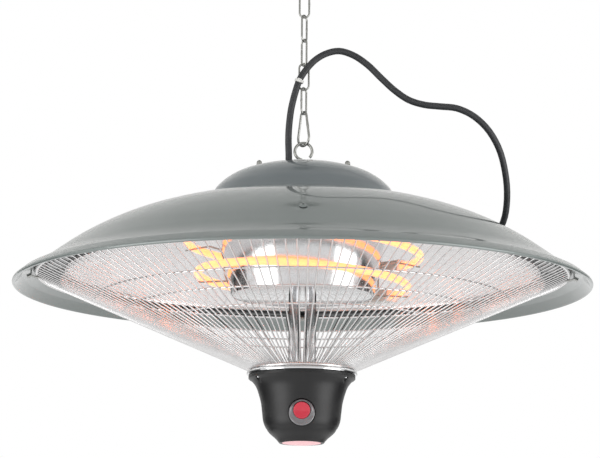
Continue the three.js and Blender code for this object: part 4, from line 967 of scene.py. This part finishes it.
# Support tubes and collar: two chromium-plated steel tubes pass from the drum's plate to the collar, a
# buffed disc with rounded edges that closes the control housing. A lid in the drum's mouth steadies them.
tube_radius = 5.75
tube_bore = 4.6
tube_spacing = 17.2
tube_rounding = 0.3
collar_radius = 57
collar_thickness = 3.4
collar_edge = 1.3
collar_top = -89.2
collar_foot = collar_top - collar_thickness
collar_profile = eased(bar(collar_radius, collar_foot, collar_top), collar_edge)
place_piece(
    "collar_plate", surface(spun(collar_profile, spun_steps)), bright_metal, "polished_metal", "heater",
    "collar",
)

# Chromium plate on steel tube, polished: a darker mirror than aluminium. Its colour goes from
# bright in the middle of a tube to nearly black at its edges: a painted reflection of a dark room.
plate_mottle = 6 * mm
chrome, tree, place = new_material("polished_chromium_plate")
tone, _ = mottled(tree, place, plate_mottle, 2, "c2c3c5", "cecfd0")
edge_on = add_node(tree, "ShaderNodeLayerWeight", {"Blend": 0.5})
# Painted reflection: the colour darkens towards the edges, where a tube is seen edge on
painted_edge_reflection = add_node(tree, "ShaderNodeMix", {
    0: edge_on.outputs["Facing"], 6: tone, 7: hex_colour("2a2b2d"),
}, data_type="RGBA")
skin = add_node(tree, "ShaderNodeBsdfPrincipled", {
    "Base Color": painted_edge_reflection.outputs[2], "Metallic": 1, "Roughness": 0.1,
})
add_node(tree, "ShaderNodeOutputMaterial", {"Surface": skin.outputs[0]})

for side, x in (("left", -tube_spacing / 2), ("right", tube_spacing / 2)):
    low, high = ((corner.z - rim_level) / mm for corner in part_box(f"support_tube_{side}"))
    tube_profile = [
        (tube_bore, low), (tube_radius - tube_rounding, low), (tube_radius, low + tube_rounding),
        (tube_radius, high - tube_rounding), (tube_radius - tube_rounding, high), (tube_bore, high),
    ]
    place_piece(
        f"chrome_tube_{side}", surface(spun(tube_profile, closed=True, centre=(x, 0))), chrome,
        "polished_metal", "heater", f"support_tube_{side}",
    )


cut_smooth_angle = math.radians(30)
cut_steps = 64


def combined(mesh, changes):
    """A mesh after cuts and joins in order, each given as an operation and the other mesh."""
    holder = new_object("whole", mesh)
    others = []
    for operation, other in changes:
        others.append(new_object(operation.lower(), other))
        step = holder.modifiers.new(operation, "BOOLEAN")
        step.operation = operation
        step.object = others[-1]
        step.solver = "EXACT"
    return tidy_mesh(applied(holder, *others), cut_smooth_angle)


lid_level = drum_foot + clearance
lid_radius = drum_foot_radius - drum_hem - clearance
lid_thickness = 0.8
lid_profile = eased(bar(lid_radius, lid_level, lid_level + lid_thickness), tube_rounding)
hole = bar(tube_radius + clearance, lid_level - lid_thickness, lid_level + 2 * lid_thickness)
lid_cuts = [
    ("DIFFERENCE", surface(spun(hole, cut_steps, centre=(x, 0))))
    for x in (-tube_spacing / 2, tube_spacing / 2)
]
lid = combined(surface(spun(lid_profile, spun_steps)), lid_cuts)
place_piece("mouth_lid", lid, bright_metal, "polished_metal", "heater")


# Lamps: each is a ring of milky quartz tube, open for a fifth of its turn, with a coiled resistance
# wire inside that glows orange. Both rings sag a little to the right.
lamp_tube_radius = 4
lamp_bore = 3.1
lamp_sag = math.radians(3.8)
lamp_gap_middle = math.radians(66)
lamp_gap = math.radians(72)
lamp_steps = 160
lamp_levels = [("lower", 109, 7), ("upper", 122, 40)]
heating_coil_radius = 2.3
heating_coil_pitch = 3.2
heating_wire = 0.5
heating_steps = 10
heating_sides = 6
cold_end = math.radians(5)
sag_axes = leaned(lamp_sag)

# Milky fused quartz over a hot wire: it glows pale orange all through, a little unevenly
quartz_cloud = 5 * mm
quartz, tree, place = new_material("milky_quartz")
tone, _ = mottled(tree, place, quartz_cloud, 2, "ffb088", "ffc48c")
skin = add_node(tree, "ShaderNodeBsdfPrincipled", {
    "Base Color": tone, "Roughness": 0.25, "IOR": 1.46, "Transmission Weight": 0.6,
    "Emission Color": tone, "Emission Strength": 0.7,
})
add_node(tree, "ShaderNodeOutputMaterial", {"Surface": skin.outputs[0]})

# Resistance wire in full heat: a bright yellow orange, hotter in spots
hot_spot = 3 * mm
hot_wire, tree, place = new_material("glowing_resistance_wire")
tone, _ = mottled(tree, place, hot_spot, 1, "ffc488", "ffe0a0")
skin = add_node(tree, "ShaderNodeBsdfPrincipled", {
    "Base Color": tone, "Roughness": 0.6, "Emission Color": tone, "Emission Strength": 1.5,
})
add_node(tree, "ShaderNodeOutputMaterial", {"Surface": skin.outputs[0]})


def on_lamp(grid, height):
    """A grid drawn round the lamp's own axis, leaned by the sag and raised to the lamp's height."""
    return carried_by(sag_axes, (0, 0, height), grid)


lamp_first = lamp_gap_middle + lamp_gap / 2
lamp_last = lamp_gap_middle - lamp_gap / 2 + full_turn
for level, ring_radius, height in lamp_levels:
    angles = np.linspace(lamp_first, lamp_last, lamp_steps + 1)
    ring = around(angles, ring_radius)
    outside, bore = (
        carried(ring, (0, 0, 1), round_section(radius))[0][1:-1] for radius in (lamp_tube_radius, lamp_bore)
    )
    tube_grid = np.concatenate([outside, bore[::-1]]), True, True
    place_piece(
        f"quartz_ring_{level}", surface(on_lamp(tube_grid, height)), quartz, "glowing_quartz", "heater",
        f"lamp_{level}",
    )
    coil_turns = round((lamp_last - lamp_first - 2 * cold_end) * ring_radius / heating_coil_pitch)
    along = np.linspace(lamp_first + cold_end, lamp_last - cold_end, coil_turns * heating_steps + 1)
    winding = np.linspace(0, full_turn * coil_turns, len(along))
    coil_radii = ring_radius + heating_coil_radius * np.cos(winding)
    helix = around(along, coil_radii, heating_coil_radius * np.sin(winding)) @ sag_axes + (0, 0, height)
    place_piece(
        f"heating_coil_{level}", along_curve(f"heating_coil_{level}", helix, heating_wire, heating_sides),
        hot_wire, "glowing_quartz", "heater",
    )


# Lamp sockets: a curved block of steatite between the ends of each lamp takes both their leads. A
# steel strip screwed to it stands off the drum's side.
socket_width = 13
socket_height = 13
socket_corner = 1.6
socket_steps = 24
socket_slack = 0.3
arm_width = 12
arm_thickness = 1.6
arm_corner = 0.4
arm_screw_radius = 2.6
arm_screw_rise = 1.2
arm_screw_spacing = 6


def box_section(width, height, corner, steps=4):
    """Offsets of a rounded rectangle: a quarter circle at each corner, about a centre that lies the
    corner's radius in from both sides."""
    turns = np.arange(4)[:, None] * quarter_turn + np.linspace(0, quarter_turn, steps + 1)
    centres = np.array([(1, 1), (-1, 1), (-1, -1), (1, -1)]) * (width / 2 - corner, height / 2 - corner)
    circles = corner * np.stack([np.cos(turns), np.sin(turns)], axis=-1)
    return (centres[:, None] + circles).reshape(-1, 2)


# Glazed steatite: a warm white with a soft gloss and a fine speckle
glaze_speckle = 1.5 * mm
steatite, tree, place = new_material("glazed_steatite")
tone, _ = mottled(tree, place, glaze_speckle, 2, "efebe4", "fbf9f5")
skin = add_node(tree, "ShaderNodeBsdfPrincipled", {
    "Base Color": tone, "Roughness": 0.4, "Coat Weight": 0.3, "Coat Roughness": 0.2,
})
add_node(tree, "ShaderNodeOutputMaterial", {"Surface": skin.outputs[0]})

for level, ring_radius, height in lamp_levels:
    half = lamp_gap / 2 - socket_slack / ring_radius
    angles = np.linspace(lamp_gap_middle - half, lamp_gap_middle + half, socket_steps + 1)
    block_section = box_section(socket_height, socket_width, socket_corner)
    block = carried(around(angles, ring_radius), (0, 0, 1), block_section)
    place_piece(
        f"steatite_socket_{level}", surface(on_lamp(block, height)), steatite, "ceramic", "heater",
        f"lamp_socket_{level}",
    )
    drum_side = drum_foot_radius + drum_taper * (height - drum_foot) + clearance
    arm_height = socket_height / 2 - arm_thickness / 2
    reach = np.array([(drum_side, 0, arm_height), (ring_radius, 0, arm_height)])
    arm_section = box_section(arm_thickness, arm_width, arm_corner)
    arm_grids = [carried(about_z(reach, lamp_gap_middle), (0, 0, 1), arm_section)]
    head = eased(bar(arm_screw_radius, arm_height, arm_height + arm_screw_rise), arm_corner)
    for along in (-arm_screw_spacing / 2, arm_screw_spacing / 2):
        centre = about_z((ring_radius + along, 0, 0), lamp_gap_middle)[:2]
        arm_grids.append(spun(head, screw_steps, centre=centre))
    place_piece(
        f"socket_arm_{level}", surface(*[on_lamp(grid, height) for grid in arm_grids]), dark_steel,
        "dark_steel", "heater",
    )


# Lamp supports: bent steel wire on both sides of the drum, with an upright, an arm under each lamp
# and two feet that pass through the drum's side.
support_wire = 0.9
support_stand = 3.5
support_tail = 4.5
support_saddle = 9
support_bend = 2
support_steps = 3
support_sides = 12
support_turns = {"right": math.radians(14), "left": math.radians(166)}
for side, turn in support_turns.items():
    lean = math.cos(turn) * math.tan(lamp_sag)
    below = lamp_tube_radius + support_wire + clearance
    low, high = (height - ring_radius * lean - below for _, ring_radius, height in lamp_levels)
    foot = low - support_tail + support_wire
    low_side, high_side = (drum_foot_radius + drum_taper * (level - drum_foot) for level in (foot, high))
    low_stand = low_side + support_stand
    high_stand = high_side + support_stand
    low_end, high_end = (ring_radius + support_saddle / 2 for _, ring_radius, _ in lamp_levels)
    long_wire = smooth_line([
        (low_side - support_stand, 0, foot), (low_stand - support_bend, 0, foot),
        (low_stand, 0, foot + support_bend), (high_stand, 0, high - support_bend),
        (high_stand + support_bend, 0, high), (high_end, 0, high),
    ], support_steps)
    low_arm = [(low_stand, 0, low), (low_end, 0, low)]
    upper_foot = [(high_side - support_stand, 0, high), (high_stand + support_bend, 0, high)]
    across = about_z((0, 1, 0), turn)
    wires = [
        carried(about_z(path, turn), across, round_section(support_wire, support_sides))
        for path in (long_wire, low_arm, upper_foot)
    ]
    place_piece(
        f"wire_support_{side}", surface(*wires), dark_steel, "dark_steel", "heater", f"lamp_support_{side}",
    )


# Guard: a cone of straight wires from the outer ring down to a foot ring on the collar, spot welded
# onto both and onto three hoops inside the cone. All of that is bright nickel-plated steel wire. Four
# clips hold its outer ring under the shade.
guard_inset = 25
guard_drop = 3.9
guard_ring_radius = shade_radius - guard_inset
guard_ring_height = skin_height(shade_inner, guard_ring_radius) - guard_drop
guard_foot_radius = 54
guard_foot_height = -87.4
guard_ring_wire = 1.7
guard_wire = 0.8
guard_hoop_wire = 0.9
guard_hoop_shares = [0.728, 0.593, 0.457]
guard_wire_count = 144
guard_wire_sides = 6
guard_weld_share = 0.9
guard_smooth_angle = math.radians(70)
ring_sides = 12
ring_steps = 192

# Bright nickel plate on drawn wire: nearly white and satin, so that each wire is one line of light
nickel_patch = 15 * mm
nickel_wire, tree, place = new_material("nickel_plated_wire")
tone, _ = mottled(tree, place, nickel_patch, 2, "d6d5d5", "efeeee")
skin = add_node(tree, "ShaderNodeBsdfPrincipled", {"Base Color": tone, "Metallic": 1, "Roughness": 0.25})
add_node(tree, "ShaderNodeOutputMaterial", {"Surface": skin.outputs[0]})


def hoop(radius, height, wire):
    """The grid of a ring of wire: a circle of the wire's radius turned about the Z axis."""
    return spun(round_section(wire, ring_sides) + (radius, height), ring_steps, closed=True)


guard_lean = unit([guard_ring_radius - guard_foot_radius, guard_ring_height - guard_foot_height])
wire_ends = np.array([
    (guard_foot_radius, 0, guard_foot_height), (guard_ring_radius, 0, guard_ring_height),
])
hoop_depth = guard_weld_share * (guard_wire + guard_hoop_wire)
inward_step = np.array([-guard_lean[1], 0, guard_lean[0]]) * hoop_depth
guard_grids = [
    hoop(guard_foot_radius, guard_foot_height, guard_ring_wire),
    hoop(guard_ring_radius, guard_ring_height, guard_ring_wire),
]
for share in guard_hoop_shares:
    crossing = wire_ends[0] + (wire_ends[1] - wire_ends[0]) * share + inward_step
    guard_grids.append(hoop(crossing[0], crossing[2], guard_hoop_wire))
for number in range(guard_wire_count):
    turn = full_turn * (number + 0.5) / guard_wire_count
    guard_grids.append(carried(
        about_z(wire_ends, turn), about_z((0, 1, 0), turn), round_section(guard_wire, guard_wire_sides),
    ))
place_piece(
    "wire_cone", surface(*guard_grids, sharp=guard_smooth_angle), nickel_wire, "guard_wire", "heater",
    "guard",
)

# The clips are bent strips of zinc-plated steel that hook under the outer ring
clip_rounding = 0.3
for number in (1, 2, 3, 4):
    place_piece(
        f"spring_clip_{number}", rounded_copy(f"guard_clip_{number}", clip_rounding), zinc_plate,
        "plated_steel", "heater", f"guard_clip_{number}",
    )


# Control housing: a bell of black moulded plastic under the collar, 70 mm high. It has a round recess
# for the switch at its front, and a pocket under its flange for each of three screws.
housing_radius = 55.1
housing_height = 69.6
housing_wall = 2.5
housing_flange = 3.2
housing_line_steps = 6
housing_top = collar_foot - clearance
housing_foot = housing_top - housing_height
housing_shares = np.array([
    (0.935, 0.082), (0.87, 0.15), (0.799, 0.297), (0.762, 0.412), (0.742, 0.537), (0.706, 0.716),
    (0.622, 0.835), (0.463, 0.954), (0.417, 1),
])
housing_flange_corner = 0.9
mouth_radius = 20.5
mouth_lip = 2
boss_wall = 2.2
recess_radius = 14.2
barrel_radius = 10.4
rocker_lift = 2.6
bezel_edge = 0.4
recess_floor = 35
switch_height = housing_top - 42.3
housing_screw_circle = 51
housing_screw_angles = [math.radians(-30), math.radians(-150), math.radians(90)]
pocket_radius = 3.3
pocket_depth = 12
pocket_boss = 4.8
mould_seam_drop = 56
mould_seam_depth = 0.25
bell_steps = 128
bell_skin_share = 0.001

# Black ABS from a spark-eroded mould: a satin skin whose fine grain spreads each highlight wide. The
# grain is drawn coarser than the real one, so that it shows.
spark_grain = 0.8 * mm
spark_relief = 0.02 * mm
moulding, tree, place = new_material("satin_black_abs")
tone, grain = mottled(tree, place, spark_grain, 2, "161617", "1c1c1d")
relief = add_node(tree, "ShaderNodeBump", {
    "Height": grain, "Strength": 0.3, "Distance": spark_relief,
})
skin = add_node(tree, "ShaderNodeBsdfPrincipled", {
    "Base Color": tone, "Roughness": 0.4, "IOR": 1.46, "Normal": relief.outputs[0],
})
add_node(tree, "ShaderNodeOutputMaterial", {"Surface": skin.outputs[0]})


front_axes = np.array([(1, 0, 0), (0, 0, 1), (0, -1, 0)])


def to_front(grid):
    """A grid drawn up the Z axis, laid along the line from the recess's floor to the front."""
    return carried_by(front_axes, (0, -recess_floor, switch_height), grid)


bell_knots = housing_shares * (housing_radius, -housing_height) + (0, housing_top)
bell_side = smooth_line(bell_knots, housing_line_steps)

# The mould's seam is a fine groove in the ring of points nearest to it
seam_at = np.argmin(np.abs(bell_side[:, 1] - housing_top + mould_seam_drop))
bell_side[seam_at, 0] -= mould_seam_depth
bell_flange = [
    (housing_radius, housing_top), (housing_radius, housing_top - housing_flange),
    (housing_radius - housing_flange_corner, housing_top - housing_flange - housing_flange_corner),
]
bell_outer = np.vstack([bell_flange, bell_side])
bell_inner = inset(bell_side, housing_wall)[housing_line_steps:-housing_line_steps]
bell_bore = housing_radius - housing_wall
bell_profile = np.vstack([
    bell_outer, [(mouth_radius, housing_foot), (mouth_radius, housing_foot + mouth_lip)], bell_inner[::-1],
    [(bell_bore, housing_top - housing_flange), (bell_bore, housing_top)],
])
bell_solid = np.vstack([[(0, housing_top)], bell_outer, [(0, housing_foot)]])
recess_boss = spun(bar(recess_radius + boss_wall, -housing_wall, recess_floor), cut_steps)
recess = spun(bar(recess_radius, 0, recess_floor), cut_steps)
barrel = bar(barrel_radius + clearance, -recess_floor, clearance)
barrel_hole = spun(barrel, cut_steps, centre=(0, rocker_lift))
bell_joins = [surface(to_front(recess_boss))]
bell_cuts = [surface(to_front(recess)), surface(to_front(barrel_hole))]
pocket_top = housing_top - housing_flange
pocket_foot = pocket_top - pocket_depth
screw_centres = [about_z((housing_screw_circle, 0, 0), turn)[:2] for turn in housing_screw_angles]
for centre in screw_centres:
    screw_boss = bar(pocket_boss, pocket_foot - housing_wall, housing_top - clearance)
    pocket = bar(pocket_radius, pocket_foot, pocket_top)
    bell_joins.append(surface(spun(screw_boss, screw_steps, centre=centre)))
    bell_cuts.append(surface(spun(pocket, screw_steps, centre=centre)))

# Each boss is trimmed to a core just under the bell's skin before it is joined to the bell
bell_core = bell_solid * (1 - bell_skin_share, 1)
bell_core[:2, 1] = housing_top - bell_skin_share * housing_radius
bell_changes = [
    ("UNION", combined(boss, [("INTERSECT", surface(spun(bell_core, bell_steps)))])) for boss in bell_joins
]
bell_changes += [("DIFFERENCE", cut) for cut in bell_cuts]
bell = combined(surface(spun(bell_profile, bell_steps, closed=True)), bell_changes)
place_piece("moulded_bell", bell, moulding, "black_moulding", "heater", "control_housing")

# The housing's screws have their heads down in the pockets and their shanks up in the collar
bell_screw_head = 2.3
bell_screw_shank = 1.7
bell_screw_rise = 1.8
bell_screw_recess = 0.55
bell_screw_shares = np.array([(0.55, -1), (0.85, -0.75), (1, -0.4), (1, 0)])
head_top = pocket_top - clearance
head_foot = head_top - bell_screw_rise
screw_end = collar_top - collar_edge
bell_screw = np.vstack([
    [(0, head_foot + driver_depth), (bell_screw_recess, head_foot + driver_depth)],
    [(bell_screw_recess, head_foot)],
    bell_screw_shares * (bell_screw_head, bell_screw_rise) + (0, head_top),
    [(bell_screw_shank, head_top), (bell_screw_shank, screw_end), (0, screw_end)],
])
for number, centre in enumerate(screw_centres, start=1):
    place_piece(
        f"pocket_screw_{number}", surface(spun(bell_screw, screw_steps, centre=centre)), bright_metal,
        "polished_metal", "heater", f"housing_screw_{number}",
    )


# Switch: a round rocker switch snapped into the recess. Its bezel is a shallow dish of smooth grey
# moulding, and its rocker is clear red plastic that a small lamp behind lights up.
bezel_radius = 13.2
bezel_rise = 3.2
bezel_lip_rise = 1.3
rocker_bore = 9.3
switch_cup_depth = 7
switch_body_depth = 20
dish_steps = 8
dish_share = np.linspace(1, 0, dish_steps + 1)
dish_radii = rocker_bore + (bezel_radius - bezel_edge - rocker_bore) * dish_share
dish_heights = bezel_lip_rise + (bezel_rise - bezel_lip_rise) * dish_share**2
bezel_profile = np.vstack([
    [(0, -switch_body_depth), (barrel_radius, -switch_body_depth), (barrel_radius, clearance)],
    [(bezel_radius, clearance), (bezel_radius, bezel_rise - bezel_edge)],
    np.stack([dish_radii, dish_heights], axis=1),
    [(rocker_bore, -switch_cup_depth), (0, -switch_cup_depth)],
])
bezel_grid = spun(bezel_profile, bell_steps)
lift_share = np.clip((bezel_radius - bezel_profile[:, 0]) / (bezel_radius - barrel_radius), 0, 1)
bezel_lift = lift_share[:, None, None] * np.array([0, rocker_lift, 0])

# Smooth grey polycarbonate: glossy, with a thin sharp highlight along its lip
bezel_moulding, tree, place = new_material("smooth_grey_polycarbonate")
tone, _ = mottled(tree, place, nylon_cloud, 2, "7a7a7d", "8b8b8e")
skin = add_node(tree, "ShaderNodeBsdfPrincipled", {
    "Base Color": tone, "Roughness": 0.18, "IOR": 1.58, "Coat Weight": 0.4, "Coat Roughness": 0.05,
})
add_node(tree, "ShaderNodeOutputMaterial", {"Surface": skin.outputs[0]})
place_piece(
    "switch_bezel", surface(to_front(shifted(bezel_grid, bezel_lift))), bezel_moulding, "switch_bezel",
    "heater", "switch_body",
)

# The rocker's face rises on both sides of a soft valley across its middle, by the distance from there,
# and the whole rocker is tipped about the valley.
rocker_radius = 8.6
rocker_rise = 3.4
rocker_dip = 2.1
rocker_keel = 3
rocker_skirt = 1
rocker_tilt = math.radians(8)
rocker_edge = 0.5
rocker_valley = 0.6
rocker_radius_shares = np.array([0, 0.2, 0.4, 0.6, 0.8, 0.9, 0.96, 1, 1, 0.5, 0])
rocker_drops = np.array([0, 0, 0, 0, 0, 0.08, 0.3, 1]) * rocker_edge
rocker_radii = rocker_radius_shares[:, None] * rocker_radius
angles = np.arange(bell_steps) * full_turn / bell_steps
rocker_x = rocker_radii * np.cos(angles)
rocker_y = rocker_radii * np.sin(angles)
slant = np.sqrt(rocker_y**2 + rocker_valley**2) / (rocker_radius + clearance)
crown_rows = len(rocker_drops)
crown_z = rocker_dip + (rocker_rise - rocker_dip) * slant[:crown_rows] - rocker_drops[:, None]
skirt_z = -rocker_keel + (rocker_keel - rocker_skirt) * slant[crown_rows:]
rocker_points = np.stack([rocker_x, rocker_y, np.vstack([crown_z, skirt_z])], axis=-1)
rocker_grid = carried_by(tipped(rocker_tilt), (0, rocker_lift, 0), (rocker_points, False, True))

# Clear red polycarbonate lit from behind: a deep red that glows faintly, paler where the lamp is
glow_spot = 14 * mm
red_clear, tree, place = new_material("clear_red_polycarbonate")
tone, _ = mottled(tree, place, glow_spot, 1, "b81e34", "d43a4c")
skin = add_node(tree, "ShaderNodeBsdfPrincipled", {
    "Base Color": tone, "Roughness": 0.15, "IOR": 1.58,
    "Emission Color": tone, "Emission Strength": 0.12,
})
add_node(tree, "ShaderNodeOutputMaterial", {"Surface": skin.outputs[0]})
place_piece("red_rocker", surface(to_front(rocker_grid)), red_clear, "red_rocker", "rocker", "rocker")


# Indicator lens: a shallow cup of frosted pale pink acrylic in the housing's mouth. A round circuit
# board with one light-emitting diode lies on it, and a terminal block hangs under the collar.
lens_radius = 20
lens_flange_radius = 21.6
lens_flange = 1.2
lens_wall = 2
lens_bulge = 1.8
lens_steps = 10
lens_seat = housing_foot + mouth_lip + clearance
lens_share = np.linspace(0, 1, lens_steps + 1)
lens_face = np.stack([lens_radius * lens_share, housing_foot - lens_bulge * (1 - lens_share**2)], axis=1)
lens_back = np.stack([
    (lens_radius - lens_wall) * lens_share, housing_foot + lens_wall - lens_bulge * (1 - lens_share**2),
], axis=1)
lens_profile = np.vstack([
    lens_face, [(lens_radius, lens_seat), (lens_flange_radius, lens_seat)],
    [(lens_flange_radius, lens_seat + lens_flange), (lens_radius - lens_wall, lens_seat + lens_flange)],
    lens_back[::-1],
])

# Frosted acrylic, lit from inside: an even pale pink that shows nothing behind it. The frosting is drawn
# coarser than the real one, so that it shows.
frost = 1.2 * mm
acrylic, tree, place = new_material("frosted_pink_acrylic")
tone, _ = mottled(tree, place, frost, 2, "e9a9b0", "f2c3c7")
skin = add_node(tree, "ShaderNodeBsdfPrincipled", {
    "Base Color": tone, "Roughness": 0.35, "IOR": 1.49,
    "Emission Color": tone, "Emission Strength": 0.25,
})
add_node(tree, "ShaderNodeOutputMaterial", {"Surface": skin.outputs[0]})
place_piece("indicator_lens", surface(spun(lens_profile, bell_steps)), acrylic, "pink_lens", "heater", "lens")

# Solder mask over copper and glass cloth: a half-gloss green, mottled by what lies under it
mask_grain = 2 * mm
solder_mask, tree, place = new_material("green_solder_mask")
tone, _ = mottled(tree, place, mask_grain, 2, "27603c", "3a7a4e")
skin = add_node(tree, "ShaderNodeBsdfPrincipled", {"Base Color": tone, "Roughness": 0.35})
add_node(tree, "ShaderNodeOutputMaterial", {"Surface": skin.outputs[0]})
place_piece(
    "lamp_board", rounded_copy("indicator_board", plate_softness), solder_mask, "circuit_board", "heater",
    "indicator_board",
)
place_piece(
    "terminal_strip", rounded_copy("terminal_block", plate_softness), steatite, "ceramic", "heater",
    "terminal_block",
)


# Light: a white room that lights the heater evenly, and two tall soft boxes in front that draw the
# upright highlights on the housing, the tubes and the drum. From here down to the ceiling, sizes and
# places are in metres in the frame.
room_light = 0.62
box_size = (1.9, 2.3)
box_power = 34
box_places = [(-2.4, -1.4, -1.1), (2.5, -1.05, -1.1)]

# The room is white to the camera and in mirrors and glass, and lights everything else at a lower level
world = bpy.data.worlds.new("room")
world.use_nodes = True
world.node_tree.nodes.clear()
rays = add_node(world.node_tree, "ShaderNodeLightPath")
seen = add_node(world.node_tree, "ShaderNodeMath", {
    0: rays.outputs["Is Camera Ray"], 1: rays.outputs["Is Glossy Ray"],
}, operation="MAXIMUM")
seen_through = add_node(world.node_tree, "ShaderNodeMath", {
    0: seen.outputs[0], 1: rays.outputs["Is Transmission Ray"],
}, operation="MAXIMUM")
strength = add_node(world.node_tree, "ShaderNodeMapRange", {
    "Value": seen_through.outputs[0], "To Min": room_light, "To Max": 1,
})
sky = add_node(world.node_tree, "ShaderNodeBackground", {
    "Color": hex_colour("ffffff"), "Strength": strength.outputs[0],
})
add_node(world.node_tree, "ShaderNodeOutputWorld", {"Surface": sky.outputs[0]})
bpy.context.scene.world = world
bpy.context.scene.view_settings.view_transform = "Standard"
for number, place_of_box in enumerate(box_places, start=1):
    soft_box = bpy.data.lights.new(f"soft_box_{number}", "AREA")
    soft_box.shape = "RECTANGLE"
    soft_box.size, soft_box.size_y = box_size
    soft_box.energy = box_power
    holder = new_object(f"soft_box_{number}", soft_box)
    holder.location = place_of_box
    aim = Vector((0, 0, rim_level)) - Vector(place_of_box)
    holder.rotation_mode = "QUATERNION"
    holder.rotation_quaternion = aim.to_track_quat("-Z", "Y")


# Cards and ceiling: two black cards behind the heater and a pale ceiling over it, which only mirrors
# see. They draw the dark and the pale parts of what the bright metal and the lacquer reflect.
card_width = 2.6
card_height = 1.75
card_distance = 2.9
card_level = -1.25
card_turns = [math.radians(32), math.radians(149)]
ceiling_half = 12
ceiling_level = 0.01


def mirrored_sheet(name, material, middle, across, upward):
    """A flat sheet of the stage that only mirrors see. Its corners are its middle plus or minus half its
    width and half its height."""
    middle, across, upward = (np.asarray(vector, float) for vector in (middle, across, upward))
    corners = [middle + x * across + y * upward for x, y in ((-1, -1), (1, -1), (1, 1), (-1, 1))]
    mesh = bpy.data.meshes.new(name)
    mesh.from_pydata([tuple(corner) for corner in corners], [], [(0, 1, 2, 3)])
    mesh.materials.append(material)
    sheet = new_object(name, mesh)
    sheet.visible_camera = False
    sheet.visible_diffuse = False
    sheet.visible_shadow = False


# Black card: matt, with a faint fibre
card_fibre = 30 * mm
card_black, tree, place = new_material("black_card")
tone, _ = mottled(tree, place, card_fibre, 2, "2a2a2b", "38383a")
skin = add_node(tree, "ShaderNodeBsdfPrincipled", {"Base Color": tone, "Roughness": 0.9})
add_node(tree, "ShaderNodeOutputMaterial", {"Surface": skin.outputs[0]})
for number, turn in enumerate(card_turns, start=1):
    outward_way = np.array([math.cos(turn), math.sin(turn), 0])
    mirrored_sheet(
        f"card_{number}", card_black, outward_way * card_distance + (0, 0, card_level),
        about_z(outward_way, quarter_turn) * card_width / 2, (0, 0, card_height / 2),
    )

# Matt paint put on by roller: a plain off-white
roller_mark = 40 * mm
ceiling_paint, tree, place = new_material("matt_ceiling_paint")
tone, _ = mottled(tree, place, roller_mark, 2, "f0f0ef", "f6f6f5")
skin = add_node(tree, "ShaderNodeBsdfPrincipled", {"Base Color": tone, "Roughness": 0.9})
add_node(tree, "ShaderNodeOutputMaterial", {"Surface": skin.outputs[0]})
mirrored_sheet(
    "ceiling", ceiling_paint, (0, 0, ceiling_level), (ceiling_half, 0, 0), (0, -ceiling_half, 0),
)


# Floor: a wide round floor 2.4 m below the ceiling, painted pale. It sends light up at the heater, and
# mirrors see it, but the camera doesn't.
floor_level = -2400
floor_radius = 6000
floor_steps = 64
mirrored_share = 0.8

# Pale floor paint: even and satin. Mirrors see most of it as evenly lit white.
floor_speckle = 60 * mm
paint, tree, place = new_material("pale_floor_paint")
tone, _ = mottled(tree, place, floor_speckle, 2, "ebebea", "f1f1f0")
skin = add_node(tree, "ShaderNodeBsdfPrincipled", {"Base Color": tone, "Roughness": 0.7})
rays = add_node(tree, "ShaderNodeLightPath")
mirrored = add_node(tree, "ShaderNodeMath", {
    0: rays.outputs["Is Glossy Ray"], 1: mirrored_share,
}, operation="MULTIPLY")
paper = add_node(tree, "ShaderNodeEmission", {"Color": hex_colour("ffffff"), "Strength": 1})
lit = add_node(tree, "ShaderNodeMixShader", {0: mirrored.outputs[0], 1: skin.outputs[0], 2: paper.outputs[0]})
add_node(tree, "ShaderNodeOutputMaterial", {"Surface": lit.outputs[0]})
floor_below = floor_level - rim_level / mm
floor_mesh = surface(spun([(0, floor_below), (floor_radius, floor_below)], floor_steps))
floor_mesh.flip_normals()
floor_mesh.materials.append(paint)
floor = new_object("floor", floor_mesh)
floor.visible_camera = False
